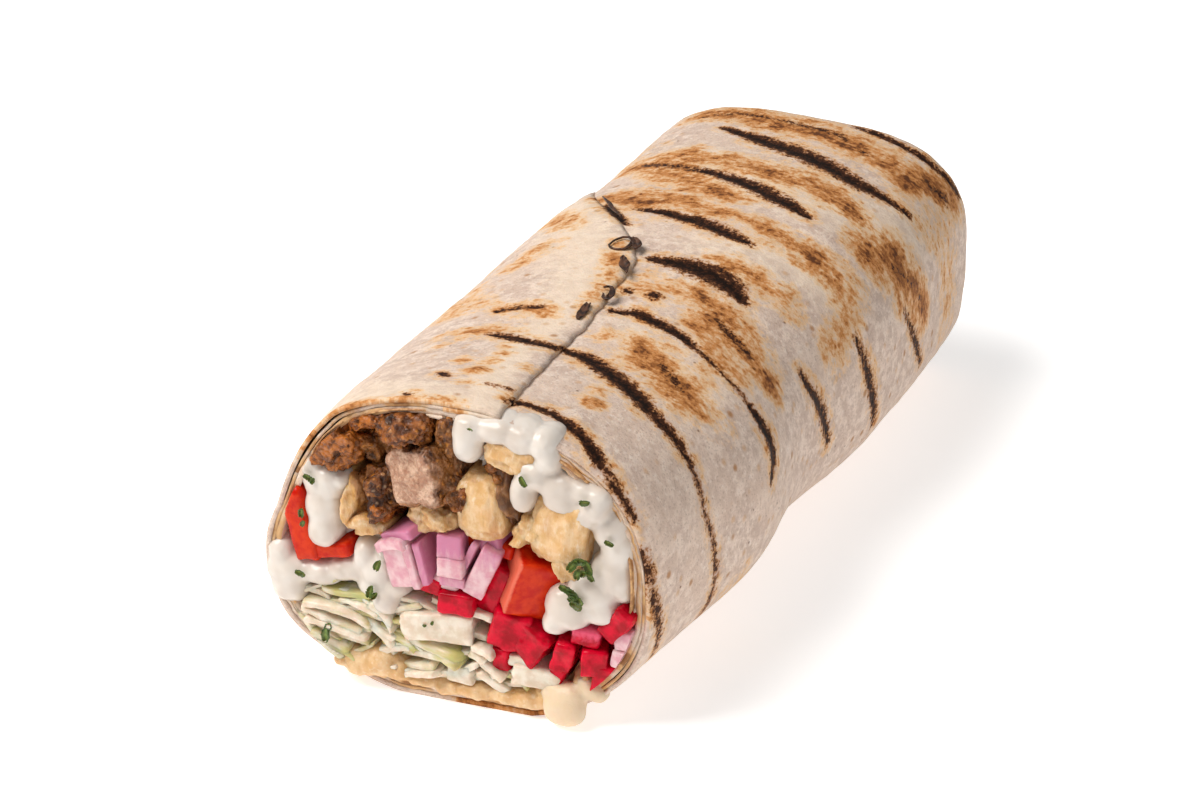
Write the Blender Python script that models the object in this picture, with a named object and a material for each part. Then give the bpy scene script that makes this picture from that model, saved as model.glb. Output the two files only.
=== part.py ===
"""A wrap: flatbread rolled round meat, chicken, salad and sauces, cut across at its front end.

Lengths are in metres and angles in degrees. The roll lies along +Y with its cut end at the
front, and rests on z = 0. While it is modelled, y = 0 is the middle of the cut, and
stand_on_centre then moves everything so that the origin is under the middle of the part.
"""

import math

import bmesh
import bpy
import numpy as np
from mathutils import Euler, Matrix, Vector, noise

MM = 0.001
LENGTH = 192 * MM
CUT_SLANT = 0.10
PRESSED_FLAT = 1.5 * MM
FULLNESS_FRONT = 2.3
FULLNESS_BACK = 3.2

# Half width, half height and sideways place of the roll at places along it.
ALONG = np.array([0, 25, 52, 82, 118, 145, 192]) * MM
HALF_WIDTH = np.array([41.8, 44.2, 46.8, 43.9, 45.4, 43.8, 41.2]) * MM
HALF_HEIGHT = np.array([36.0, 34.4, 33.1, 33.4, 33.2, 32.3, 30.7]) * MM
SIDEWAYS = np.array([3.7, 3.1, 3.2, 2.0, 3.2, 3.8, 1.5]) * MM

# The wall is two or three layers of bread, thickest at the upper right of the cut.
SHEET = 1.6 * MM
WALL_THIN = 2.2 * MM
WALL_THICK = 4.7 * MM
WALL_THICK_AT = 40
RIM_ROUNDING = 0.5 * MM
RIM_GROOVE = 1.4 * MM

# Near the cut the left side sags outwards low down and leans in higher up.
LEAN_HEIGHTS = np.array([0, 5, 11, 17, 28, 33, 42, 53, 60, 64, 72]) * MM
LEAN = np.array([0, 0, -2.2, -2.8, -2.2, -1.5, 1.4, 2.3, 1.3, 0, 0]) * MM
LEAN_ACROSS = 25 * MM
LEAN_ALONG = 26 * MM

# The rim turns inwards at the upper right.
TUCK = 2.4 * MM
TUCK_LENGTH = 8 * MM
TUCK_AT = 35
TUCK_SPREAD = 75

# The outer sheet ends in a flap, whose edge runs back along the top and then down the left side.
FLAP_ALONG = np.array([0, 45, 80, 94, 108, 123, 150, 192]) * MM
FLAP_EDGE = np.array([80, 87, 89, 92, 104, 121, 150, 176])
FLAP_FADE_FROM = 132 * MM
FLAP_FADE_LENGTH = 26 * MM
FLAP_BLEND = 75
FLAP_STEP_ANGLE = 1.5

# The back end is folded in and pressed flat.
END_ROUNDING = 2.5 * MM
END_THICKNESS = 7 * MM
END_BULGE = 1.6 * MM
PLEAT_DEPTH = 1.1 * MM
PLEAT_WIDTH = 2.2 * MM

WAVE = 0.45 * MM
WAVE_LENGTH = 22 * MM

COLUMNS = 44
WALL_STATIONS = [y * MM for y in (4, 40, 82, 118, 155)]
GAP = 0.35 * MM
CORE_INSET = 0.6 * MM
FLAT_WITHIN = 0.8
FRONT_REACH = 9 * MM
FILLING_BACK = 183 * MM

parts = bpy.data.collections.new("gyro_wrap")
cutters = bpy.data.collections.new("cutters")


def clear_scene():
    for obj in list(bpy.data.objects):
        bpy.data.objects.remove(obj, do_unlink=True)
    bpy.context.scene.collection.children.link(parts)
    bpy.context.scene.collection.children.link(cutters)


def material(name, colour, roughness):
    made = bpy.data.materials.new(name)
    made.use_nodes = True
    shader = made.node_tree.nodes["Principled BSDF"]
    shader.inputs["Base Color"].default_value = (*colour, 1)
    shader.inputs["Roughness"].default_value = roughness
    shader.inputs["Metallic"].default_value = 0
    made.diffuse_color = (*colour, 1)
    return made


def smooth_between(places, values, where):
    """A smooth curve through the values, with no overshoot between them."""
    where = min(max(where, places[0]), places[-1])
    index = min(int(np.searchsorted(places, where, "right")) - 1, len(places) - 2)
    steps = np.diff(places)
    slopes = np.diff(values) / steps
    tangents = np.concatenate([[slopes[0]], (slopes[:-1] + slopes[1:]) / 2, [slopes[-1]]])
    tangents[1:-1][slopes[:-1] * slopes[1:] <= 0] = 0
    step = steps[index]
    t = (where - places[index]) / step
    return (
        values[index] * (1 + 2 * t) * (1 - t) ** 2
        + values[index + 1] * t * t * (3 - 2 * t)
        + step * (tangents[index] * t * (1 - t) ** 2 + tangents[index + 1] * t * t * (t - 1))
    )


def signed_power(value, power):
    return math.copysign(abs(value) ** power, value)


def slant(x, y):
    """How far the slanted cut moves a point along the roll. It fades towards the back."""
    return CUT_SLANT * x * (1 - min(max(y / LENGTH, 0), 1)) ** 2


def lean(x, y, z):
    left = min(max((SIDEWAYS[0] - x) / LEAN_ACROSS, 0), 1)
    near = (1 - min(max(y / LEAN_ALONG, 0), 1)) ** 2
    return smooth_between(LEAN_HEIGHTS, LEAN, z) * left * near


def tuck(angle, y):
    off = abs((angle - TUCK_AT + 180) % 360 - 180) / TUCK_SPREAD
    if off >= 1 or y >= TUCK_LENGTH:
        return 0
    return TUCK * (0.5 + 0.5 * math.cos(math.pi * off)) * (1 - max(y, 0) / TUCK_LENGTH) ** 2


def roll_point(angle, y, depth):
    """A point of the roll, at this depth below its skin. 0 degrees is its right side, 90 its top."""
    along = min(max(y / LENGTH, 0), 1)
    power = 2 / (FULLNESS_FRONT + (FULLNESS_BACK - FULLNESS_FRONT) * along**3)
    wide = smooth_between(ALONG, HALF_WIDTH, y) - depth
    high = smooth_between(ALONG, HALF_HEIGHT, y)
    x = smooth_between(ALONG, SIDEWAYS, y) + wide * signed_power(math.cos(math.radians(angle)), power)
    z = high - PRESSED_FLAT
    z += (high - depth) * signed_power(math.sin(math.radians(angle)), power)
    x += lean(x, y, z)
    return Vector((x, y + slant(x, y), max(z, depth)))


def wall(angle):
    share = (0.5 + 0.5 * math.cos(math.radians(angle - WALL_THICK_AT))) ** 3
    return WALL_THIN + (WALL_THICK - WALL_THIN) * share


def new_object(name, mesh, collection=parts):
    obj = bpy.data.objects.new(name, mesh)
    collection.objects.link(obj)
    return obj


def object_from(bm, name, collection=parts):
    mesh = bpy.data.meshes.new(name)
    bm.to_mesh(mesh)
    bm.free()
    return new_object(name, mesh, collection)


def loft(name, rings, collection=parts):
    """A closed solid through rings of equally many points, with a face over each end."""
    bm = bmesh.new()
    grid = [[bm.verts.new(point) for point in ring] for ring in rings]
    count = len(rings[0])
    for near, far in zip(grid, grid[1:]):
        for i in range(count):
            j = (i + 1) % count
            bm.faces.new((near[i], near[j], far[j], far[i]))
    bm.faces.new(reversed(grid[0]))
    bm.faces.new(grid[-1])
    bmesh.ops.recalc_face_normals(bm, faces=bm.faces)
    return object_from(bm, name, collection)


def modified(obj, operation, target, solver="MANIFOLD"):
    """Applies one Boolean. The target is an object or a collection."""
    cut = obj.modifiers.new(operation.lower(), "BOOLEAN")
    cut.operation = operation
    cut.solver = solver
    if isinstance(target, bpy.types.Collection):
        cut.operand_type = "COLLECTION"
        cut.collection = target
    else:
        cut.object = target
    bpy.context.view_layer.update()
    result = obj.evaluated_get(bpy.context.evaluated_depsgraph_get())
    mesh = bpy.data.meshes.new_from_object(result)
    obj.modifiers.clear()
    old = obj.data
    obj.data = mesh
    bpy.data.meshes.remove(old)
    mesh.name = obj.name


def islands(bm):
    left = set(bm.verts)
    while left:
        found = {left.pop()}
        edge_of = list(found)
        while edge_of:
            vertex = edge_of.pop()
            for edge in vertex.link_edges:
                other = edge.other_vert(vertex)
                if other in left:
                    left.discard(other)
                    found.add(other)
                    edge_of.append(other)
        yield found


def keep_largest_body(obj):
    bm = bmesh.new()
    bm.from_mesh(obj.data)
    bmesh.ops.dissolve_limit(bm, angle_limit=math.radians(FLAT_WITHIN), verts=bm.verts, edges=bm.edges)
    bodies = sorted(islands(bm), key=len)
    for scrap in bodies[:-1]:
        bmesh.ops.delete(bm, geom=list(scrap), context="VERTS")
    bm.to_mesh(obj.data)
    bm.free()


def fuse(core, pieces):
    """Joins the pieces to the core with one Boolean on their collection, then removes them."""
    group = bpy.data.collections.new("fused_pieces")
    bpy.context.scene.collection.children.link(group)
    for piece in pieces:
        group.objects.link(piece)
        parts.objects.unlink(piece)
    modified(core, "UNION", group)
    for piece in pieces:
        bpy.data.objects.remove(piece, do_unlink=True)
    bpy.data.collections.remove(group)


# The flatbread


def wave(point):
    return WAVE * noise.noise(point / WAVE_LENGTH)


def flap_edge(y):
    return smooth_between(FLAP_ALONG, FLAP_EDGE, y)


def below_flap(turn, y):
    """How far the outer sheet dips where it runs under the flap. turn is measured from the edge."""
    behind = 360 - turn
    if turn == 0 or behind >= FLAP_BLEND:
        return 0
    fade = 1 - min(max((y - FLAP_FADE_FROM) / FLAP_FADE_LENGTH, 0), 1)
    return SHEET * fade * (0.5 + 0.5 * math.cos(math.pi * behind / FLAP_BLEND))


def column_turns():
    spread = [360 * i / COLUMNS for i in range(COLUMNS)]
    return spread + [360 - FLAP_STEP_ANGLE]


def outer_ring(y, depth):
    ring = []
    for turn in column_turns():
        angle = flap_edge(y) + turn
        point = roll_point(angle, y, depth + below_flap(turn, y) + tuck(angle, y))
        middle = Vector((smooth_between(ALONG, SIDEWAYS, y), point.y, smooth_between(ALONG, HALF_HEIGHT, y)))
        outward = (point - middle).normalized()
        if point.z > PRESSED_FLAT and depth < END_ROUNDING:
            point += outward * wave(point)
        ring.append(point)
    return ring


def wall_ring(y, share):
    """A ring inside the wall: share 0 is the skin and 1 the inner face."""
    start = flap_edge(0)
    ring = []
    for turn in column_turns():
        angle = start + turn
        skin = below_flap(turn, y) + tuck(angle, y)
        ring.append(roll_point(angle, y, share * wall(angle) + (1 - share) * skin))
    return ring


def end_ring(share):
    """A ring of the folded back end: share 0 is its rounded edge and 1 its middle."""
    middle = smooth_between(ALONG, HALF_HEIGHT, LENGTH)
    depth = END_ROUNDING + (middle - END_ROUNDING) * share
    ring = outer_ring(LENGTH, depth)
    for point in ring:
        point.y = LENGTH + END_BULGE * math.sin(share * math.pi / 2)
        height = point.z - middle
        crease = min(abs(height - 0.62 * point.x), abs(height + 0.62 * point.x), 3 * PLEAT_WIDTH)
        point.y -= PLEAT_DEPTH * math.exp(-((crease / PLEAT_WIDTH) ** 2)) * (1 - 0.5 * share)
        if height > abs(point.x) * 0.62:
            point.y += PLEAT_DEPTH
    return ring


def make_tortilla():
    inner = [wall_ring(y, 1) for y in (LENGTH - END_THICKNESS, *reversed(WALL_STATIONS))]
    rim = [
        wall_ring(0, 1),
        wall_ring(0, 0.55),
        wall_ring(RIM_GROOVE, 0.5),
        wall_ring(0, 0.45),
        outer_ring(0, 0.25 * SHEET),
        outer_ring(RIM_ROUNDING, 0),
    ]
    rows = (3, 8, 16, 27, 39, 51, 63, 75, 85, 94, 101, 108, 115, 124, 134, 141, 152, 166)
    outer = [outer_ring(y * MM, 0) for y in rows]
    corner = []
    for step in range(4):
        bend = math.radians(90 * step / 3)
        y = LENGTH - END_ROUNDING * (1 - math.sin(bend))
        corner.append(outer_ring(y, END_ROUNDING * (1 - math.cos(bend))))
    end = [end_ring(share) for share in (0.2, 0.45, 0.7, 0.88)]
    tortilla = loft("tortilla", inner + rim + outer + corner + end)
    tortilla.data.shade_smooth()
    tortilla.data.set_sharp_from_angle(angle=math.radians(40))
    return tortilla


# The fillings


def fitted(x, z, y):
    """Carries a place in the cut face back along the roll, as the roll narrows and flattens."""
    wide = (smooth_between(ALONG, HALF_WIDTH, y) - WALL_THIN) / (HALF_WIDTH[0] - WALL_THIN)
    high = (smooth_between(ALONG, HALF_HEIGHT, y) - WALL_THIN) / (HALF_HEIGHT[0] - WALL_THIN)
    new_x = smooth_between(ALONG, SIDEWAYS, y) + (x - SIDEWAYS[0]) * wide
    middle = HALF_HEIGHT[0] - PRESSED_FLAT
    new_z = smooth_between(ALONG, HALF_HEIGHT, y) - PRESSED_FLAT + (z - middle) * high
    return Vector((new_x, y + slant(new_x, y), new_z))


def grown(outline, grow):
    """The outline in metres, each point moved outwards by grow. It runs either way round."""
    points = [Vector((x * MM, z * MM)) for x, z in outline]
    turns = sum(a.x * b.y - b.x * a.y for a, b in zip(points, points[1:] + points[:1]))
    if turns < 0:
        points.reverse()
    moved = []
    for before, here, after in zip(points[-1:] + points[:-1], points, points[1:] + points[:1]):
        one = (here - before).normalized()
        two = (after - here).normalized()
        outward = Vector((one.y + two.y, -one.x - two.x))
        if outward.length < 0.3:
            outward = Vector((one.y, -one.x))
        outward.normalize()
        lengthen = 1 / max(outward.dot(Vector((one.y, -one.x))), 0.5)
        moved.append(here + outward * grow * lengthen)
    return moved


def bar(name, outline, grow, front, back=FILLING_BACK, collection=cutters):
    stations = [52 * MM, 82 * MM, 118 * MM]
    outline = grown(outline, grow)
    rings = []
    for y in [front, *([0.0] if front < 0 else []), *stations, back]:
        rings.append([fitted(point.x, point.y, y) for point in outline])
    return loft(name, rings, collection)


def hollow_of_roll():
    """The space inside the wall, less the gap, reaching out in front of the cut."""
    rings = []
    for y in [-FRONT_REACH, 0, *WALL_STATIONS, FILLING_BACK]:
        ring = []
        for turn in column_turns():
            angle = flap_edge(0) + turn
            point = roll_point(angle, max(y, 0), wall(angle) + GAP)
            point.y += min(y, 0)
            ring.append(point)
        rings.append(ring)
    return loft("hollow", rings, cutters)


def in_place(bm, name, x, z, turn, proud, depth, tip=0):
    """Sets a piece with its middle at x, z of the cut face, reaching proud of the cut."""
    x, z, proud, depth = x * MM, z * MM, proud * MM, depth * MM
    y = CUT_SLANT * x + depth / 2 - proud
    turned = Euler((math.radians(tip), math.radians(-turn), 0)).to_matrix().to_4x4()
    bmesh.ops.transform(bm, matrix=Matrix.Translation((x, y, z)) @ turned, verts=bm.verts)
    return object_from(bm, name)


def lump(x, z, width, height, turn=0, proud=1.5, depth=14, crag=0.0, fine=2, seed=0):
    """A rounded piece. crag is how rough it is."""
    bm = bmesh.new()
    bmesh.ops.create_icosphere(bm, subdivisions=fine, radius=0.5)
    for vertex in bm.verts:
        shift = Vector((seed * 3.1, x * 0.7, z * 0.9))
        vertex.co *= 1 + crag * noise.noise(vertex.co * 3.2 + shift)
        vertex.co = Vector(signed_power(value * 2, 0.8) / 2 for value in vertex.co)
    bmesh.ops.scale(bm, vec=Vector((width, depth, height)) * MM, verts=bm.verts)
    return in_place(bm, "lump", x, z, turn, proud, depth)


def block(x, z, width, height, turn=0, proud=1.5, depth=14, edge=0.8, crag=0.0, tip=0):
    """A cut cube or stick with slightly rounded edges."""
    bm = bmesh.new()
    bmesh.ops.create_cube(bm, size=1)
    bmesh.ops.scale(bm, vec=Vector((width, depth, height)) * MM, verts=bm.verts)
    if edge:
        bmesh.ops.bevel(
            bm, geom=bm.edges, offset=edge * MM, segments=1, profile=0.5, affect="EDGES", material=-1
        )
    for vertex in bm.verts:
        push = noise.noise_vector(vertex.co * 400 + Vector((x, z, turn)))
        vertex.co += push * crag * MM
    return in_place(bm, "block", x, z, turn, proud, depth, tip)


def shred(x, z, length, thick, turn, bend, proud):
    """A strip of cabbage, bent along its length."""
    bm = bmesh.new()
    bmesh.ops.create_cube(bm, size=1)
    across = [edge for edge in bm.edges if abs((edge.verts[0].co - edge.verts[1].co).x) > 0.5]
    bmesh.ops.subdivide_edges(bm, edges=across, cuts=1, use_grid_fill=True)
    bmesh.ops.scale(bm, vec=Vector((length, 11, thick)) * MM, verts=bm.verts)
    for vertex in bm.verts:
        along = vertex.co.x / (length * MM)
        vertex.co.z += bend * MM * (0.25 - along * along) * 4
    return in_place(bm, "shred", x, z, turn, proud, 11)


def flake(x, z, size, turn, proud):
    """A fleck of herb, lying on what it is fused to."""
    bm = bmesh.new()
    bmesh.ops.create_cube(bm, size=1)
    bmesh.ops.scale(bm, vec=Vector((size, 3, size * 0.55)) * MM, verts=bm.verts)
    return in_place(bm, "flake", x, z, turn, proud, 3)


# Where each filling lies in the cut face: corners in millimetres, across and up. A later filling
# gives way to the ones before it.

MEAT = [
    (-28.5, 53), (-21, 64), (-13, 68), (-4, 70), (2.2, 70), (2.6, 61), (4.4, 57), (7, 56.5),
    (6.2, 51.5), (3, 47), (-3.5, 47), (-9, 41.5), (-14, 39.8), (-18, 43.5), (-19, 49.5),
    (-25, 48.2),
]
CHICKEN = [
    (-8.7, 41.7), (-3.6, 46.8), (3.2, 46.8), (6.4, 51.3), (9, 59.3), (9.8, 62.4), (15.5, 64.2),
    (19.6, 63.5), (15.2, 56), (13.9, 48.6), (19.3, 46.5), (22, 51.7), (25.1, 53.6), (30.2, 47.5),
    (30.2, 43), (26.6, 33), (19, 40.7), (17.3, 40), (13.9, 43.2), (4, 40.6), (-3, 39.4),
]
CHICKEN_LEFT = [
    (-19.5, 49.2), (-18.2, 43.6), (-14, 39.6), (-12.4, 39.2), (-15, 36.4), (-20.5, 36.2), (-23, 41),
    (-21.6, 46),
]
TOMATO = [
    (13.2, 38.8), (18.5, 39.6), (23.6, 35.9), (24.2, 33), (21.9, 29.5), (20.2, 24.3), (20, 21.4),
    (15, 22.5), (10.4, 25.6),
]
TOMATO_LEFT = [
    (-37, 44.5), (-32, 43), (-30.4, 36), (-27.4, 31.2), (-24, 33.3), (-20.6, 35.6), (-20.9, 32.3),
    (-25, 30.5), (-29, 29.3), (-38, 27),
]
ONION = [
    (-14.6, 36), (-9.1, 41.1), (-3, 39.2), (4, 40.4), (13, 42.4), (13, 38.6), (10.3, 25.6), (3, 27),
    (-3, 29.4), (-10, 25.3), (-12.8, 28),
]
ONION_RIGHT = [(36.6, 21), (39.8, 24.6), (45, 26), (45, 15), (38.2, 14.6), (36.3, 16.8)]
TURNIP = [
    (-6, 28), (-3, 29.2), (3, 26.8), (10.2, 25.3), (15, 22.3), (20, 21.1), (24.3, 18.7), (28, 23.8),
    (34.3, 24.1), (36, 28), (40, 30.2), (45, 31), (45, 26.3), (39.6, 25), (36.3, 21), (36, 16.8),
    (38, 14.3), (34.8, 8.2), (32, 8.6), (31, 13.7), (28.2, 14.6), (25.6, 10.2), (23.4, 9.3),
    (22, 12.6), (15.5, 15.6), (14.2, 10), (10.1, 10.5), (9.9, 14.5), (7.6, 20), (5.5, 22.1),
    (-0.5, 21.4),
]
HUMMUS = [
    (-30, 7), (-22, 7), (-18, 9.5), (-14, 10), (-9.5, 9.3), (-8, 6.6), (-3, 5.4), (2, 5.6),
    (10.5, 6.6), (17, 6.4), (23, 7.4), (25.8, 10), (27, 13), (28.2, 14.4), (30.8, 13.5),
    (31.4, 8.3), (34.8, 7.9), (37.5, 12), (42, 8), (30, -2), (-22, -2),
]
CABBAGE = [
    (-42, 14), (-33.8, 16.8), (-28.5, 20.6), (-20, 23.6), (-15.5, 19.6), (-10.5, 19.3),
    (-6.3, 25.3), (-2, 25), (9, 22), (9, 16), (24, 14), (26, 6), (-10, 4), (-24, 5), (-36, 4),
]
SAUCE_MIDDLE = [
    (-40, 27), (-29, 29), (-25, 30.3), (-20.3, 32), (-20, 36), (-15, 36.4), (-12, 35), (-8, 26),
    (-8, 21), (-10, 19), (-13, 18), (-17, 19), (-20, 21), (-26, 19), (-34, 14), (-42, 15),
]
SAUCE_LEFT = [
    (-36, 52.5), (-28.5, 53.3), (-24, 50), (-19, 50), (-19, 36), (-24, 32), (-29, 30), (-37, 43),
]
SAUCE_RIGHT = [
    (1, 72), (24, 72), (42, 58), (50, 40), (48, 24), (34, 20), (24, 15), (19, 22), (21, 33),
    (26, 40), (28, 46), (23, 49), (18, 44), (12, 47), (12, 58), (6, 54), (1, 57),
]


def make_meat():
    rough = dict(crag=0.5)
    return [
        lump(-22, 55.5, 13, 8.5, 47, proud=2.5, seed=1, **rough),
        lump(-15, 63, 9, 6, 12, proud=2, seed=2, **rough),
        lump(-9, 63, 10, 9, 0, proud=3, seed=3, **rough),
        lump(-3.5, 65.5, 9, 8, 0, proud=2.5, seed=4, **rough),
        block(-5.3, 52.5, 14.5, 14, 8, proud=4.5, edge=3, crag=0.9),
        lump(-14, 46.5, 9, 13.5, 8, proud=2, seed=6, **rough),
        lump(2, 51, 9.5, 9, -15, proud=3.5, seed=7, **rough),
        lump(1, 62.5, 6.5, 12, 0, proud=0.5, seed=8, **rough),
        lump(-24, 50, 8, 6, 20, proud=2, seed=9, **rough),
    ]


def make_chicken():
    return [
        block(8.4, 47, 11, 13, 4, proud=3, edge=2.2, crag=0.9),
        lump(13.2, 53.5, 6, 13, 25, proud=2.5, crag=0.4, seed=2),
        lump(15, 61.5, 12, 8, -8, proud=2, crag=0.3, seed=3),
        block(24, 43.5, 14, 18, -6, proud=2.5, edge=3, crag=0.9),
        lump(18, 44.5, 8, 7, 0, proud=1.5, crag=0.4, seed=5),
        lump(-3, 43, 11, 7.5, 0, proud=2.5, crag=0.4, seed=6),
        lump(25.5, 36, 5.5, 9, 20, proud=1.5, crag=0.4, seed=7),
    ]


def make_chicken_left():
    return [
        lump(-20.3, 42.5, 5.5, 13, -8, proud=1.5, crag=0.4, seed=1),
        lump(-17, 38.5, 8, 6, 0, proud=1.5, crag=0.4, seed=2),
    ]


def make_onion():
    return [
        block(-9.3, 37.3, 7.5, 5, 24, proud=3),
        block(-10, 31, 6.5, 9.5, 8, proud=2),
        block(-5.2, 33, 5.5, 10, -6, proud=3),
        block(1.9, 34.6, 5.2, 11.5, -2, proud=3.2),
        block(7.8, 33, 5.8, 12.5, -24, proud=2.2),
        block(9.8, 39, 5, 5, 10, proud=-0.5, edge=0),
        block(0.5, 28.6, 6, 3, 0, proud=1.5, edge=0),
    ]


def make_onion_right():
    return [
        block(39, 22, 5, 4.5, 10, proud=1, edge=0),
        block(39, 17.6, 5.5, 4.2, -8, proud=1.5, edge=0),
    ]


def make_tomato():
    return [
        block(17.6, 30.7, 10.5, 14.5, -20, proud=2.6, edge=0.6),
        block(14, 32, 5, 12, -24, proud=0.5, edge=0),
    ]


def make_tomato_left():
    return [
        block(-32, 36, 5.5, 17, 14, proud=1, edge=0.8),
        block(-26.5, 31, 12, 3.5, 14, proud=0.8, edge=0),
    ]


def make_turnip():
    return [
        block(-2.8, 27.5, 5, 4, -10, proud=1.6, edge=0),
        block(2.2, 24.5, 8.5, 4.8, -4, proud=3),
        block(12, 20.6, 8, 9.5, -22, proud=2.6, crag=0.3),
        block(18.5, 17.4, 10, 7, -22, proud=2.4, crag=0.3),
        block(12.2, 12.6, 4.2, 5.5, 0, proud=1.6, edge=0),
        block(24.8, 15.6, 5.4, 7.5, -18, proud=3, crag=0.3),
        block(24.3, 11, 3.2, 5.5, -24, proud=1.4, edge=0),
        block(30, 21.2, 6, 5, -6, proud=1.8, edge=0),
        block(30.8, 16, 5.6, 5.6, -4, proud=3.4, crag=0.3),
        block(34, 12.8, 4.6, 8, -14, proud=1.6, edge=0),
        block(37.7, 26.4, 4.4, 9, -38, proud=1.8, edge=0),
    ]


def make_hummus():
    return [
        lump(-22, 5.5, 10, 7, 10, proud=2.2, crag=0.3, seed=1),
        lump(-15, 6.8, 11, 8, 0, proud=3, crag=0.3, seed=2),
        lump(-3, 4, 14, 4.5, 0, proud=1.2, crag=0.3, seed=3),
        lump(8, 4.6, 14, 4.5, 4, proud=1.6, crag=0.3, seed=4),
        lump(18, 5.2, 12, 4.5, 4, proud=1.8, crag=0.3, seed=5),
        lump(29, 10.6, 5, 8, 0, proud=0.2, crag=0.3, seed=6),
        lump(28, 9, 11, 9.5, 0, proud=4.4, crag=0.15, seed=7),
    ]


def make_cabbage():
    rng = np.random.default_rng(5)
    shreds = []
    for row, z in enumerate((7, 10.4, 13.8, 17.2, 20.6)):
        for x in np.arange(-31 + 5 * (row % 2), 24, 10):
            turn = rng.uniform(-24, 24)
            length = rng.uniform(10, 15)
            across = x + rng.uniform(-1.5, 1.5)
            up = z + rng.uniform(-0.8, 0.8)
            thick = rng.uniform(1.1, 1.9)
            bend = rng.uniform(-1.6, 1.6)
            shreds.append(shred(across, up, length, thick, turn, bend, proud=rng.uniform(0.2, 2.6)))
    shreds.append(block(-1.5, 17.8, 16, 8, 2, proud=2.4, edge=1.2, crag=0.5))
    shreds.append(block(17.5, 10.5, 10, 4.5, -8, proud=1.6, edge=1, crag=0.4))
    return shreds


def make_sauce_middle():
    return [
        lump(-28, 26, 20, 8.5, 8, proud=1.6),
        lump(-16.5, 30, 11, 13, 0, proud=2.2),
        lump(-13, 24, 8, 12, -6, proud=2.4),
        flake(-13, 31.2, 3.4, 62, 2.4),
        flake(-15.5, 25, 3, 80, 3.2),
        flake(-31, 25.2, 3, -14, 2.2),
    ]


def make_sauce_left():
    return [
        lump(-27, 43, 10.5, 21, 8, proud=2.4),
        lump(-25, 36, 7, 9, 0, proud=2.8),
        flake(-28, 49.2, 2.4, 30, 2.6),
    ]


def make_sauce_right():
    return [
        lump(6, 62.5, 8, 14, 0, proud=2.6),
        lump(12, 67, 16, 5.5, -4, proud=1.6),
        lump(22.5, 61, 8, 14, -20, proud=1.8),
        lump(17, 52, 6.5, 13, 0, proud=3),
        lump(23, 54, 12, 6.5, -10, proud=2.6),
        lump(34.5, 48.5, 11, 9, -35, proud=2.8),
        lump(36, 38, 12, 16, 0, proud=2),
        lump(30, 29.5, 18, 12, -14, proud=2.6),
        lump(24.5, 22, 7, 9, 0, proud=2.8),
        flake(7.6, 67, 2.2, 60, 3),
        flake(19, 56.4, 2.2, 75, 3.8),
        flake(31.6, 53.6, 2.2, 8, 3.2),
        flake(37, 45.6, 2.2, 20, 3.4),
        flake(31, 38, 4.6, -60, 3.2),
        flake(29.2, 31.6, 4.6, -35, 3.6),
    ]


# Each filling: its name, its place in the cut, its front pieces, how far back its bar starts, its look.
FILLINGS = [
    ("gyro_meat", MEAT, make_meat, 4.5, (0.20, 0.075, 0.03), 0.55),
    ("chicken", CHICKEN, make_chicken, 3, (0.72, 0.47, 0.24), 0.55),
    ("chicken_left", CHICKEN_LEFT, make_chicken_left, 3, (0.72, 0.45, 0.20), 0.55),
    ("tomato", TOMATO, make_tomato, 2.5, (0.62, 0.045, 0.01), 0.3),
    ("tomato_left", TOMATO_LEFT, make_tomato_left, 2, (0.62, 0.07, 0.02), 0.3),
    ("red_onion", ONION, make_onion, 4, (0.62, 0.20, 0.30), 0.35),
    ("red_onion_right", ONION_RIGHT, make_onion_right, 3, (0.75, 0.50, 0.48), 0.35),
    ("pickled_turnip", TURNIP, make_turnip, 3.5, (0.50, 0.003, 0.02), 0.25),
    ("hummus", HUMMUS, make_hummus, 2, (0.74, 0.47, 0.23), 0.6),
    ("cabbage", CABBAGE, make_cabbage, 4, (0.72, 0.64, 0.42), 0.4),
    ("white_sauce_middle", SAUCE_MIDDLE, make_sauce_middle, 2, (0.82, 0.79, 0.74), 0.3),
    ("white_sauce_left", SAUCE_LEFT, make_sauce_left, 2, (0.82, 0.79, 0.74), 0.3),
    ("white_sauce_right", SAUCE_RIGHT, make_sauce_right, 2, (0.82, 0.79, 0.74), 0.3),
]


def hang_drip(hummus):
    """The paste that runs out over the rim, low on the right."""
    drip = lump(27.4, 5.6, 12, 10.4, 6, proud=5, depth=4.4, crag=0.1, seed=8)
    fuse(hummus, [drip])


def make_filling(name, outline, pieces, start, colour, roughness, hollow, taken):
    """A bar that runs through the roll, its front pieces, cut to its own place in the roll."""
    core = bar(name, outline, -CORE_INSET, start * MM, collection=parts)
    made = pieces()
    fuse(core, made)
    own = bar(name + "_place", outline, -GAP / 2, -FRONT_REACH, FILLING_BACK + MM)
    modified(core, "INTERSECT", own)
    modified(core, "INTERSECT", hollow)
    for other in taken:
        modified(core, "DIFFERENCE", other)
    taken.append(bar(name + "_kept_clear", outline, GAP / 2, -FRONT_REACH - MM, FILLING_BACK + 2 * MM))
    bpy.data.objects.remove(own, do_unlink=True)
    if name == "hummus":
        hang_drip(core)
    keep_largest_body(core)
    core.data.materials.clear()
    core.data.materials.append(material(name, colour, roughness))
    core.data.shade_smooth()
    core.data.set_sharp_from_angle(angle=math.radians(35))
    return core


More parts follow.
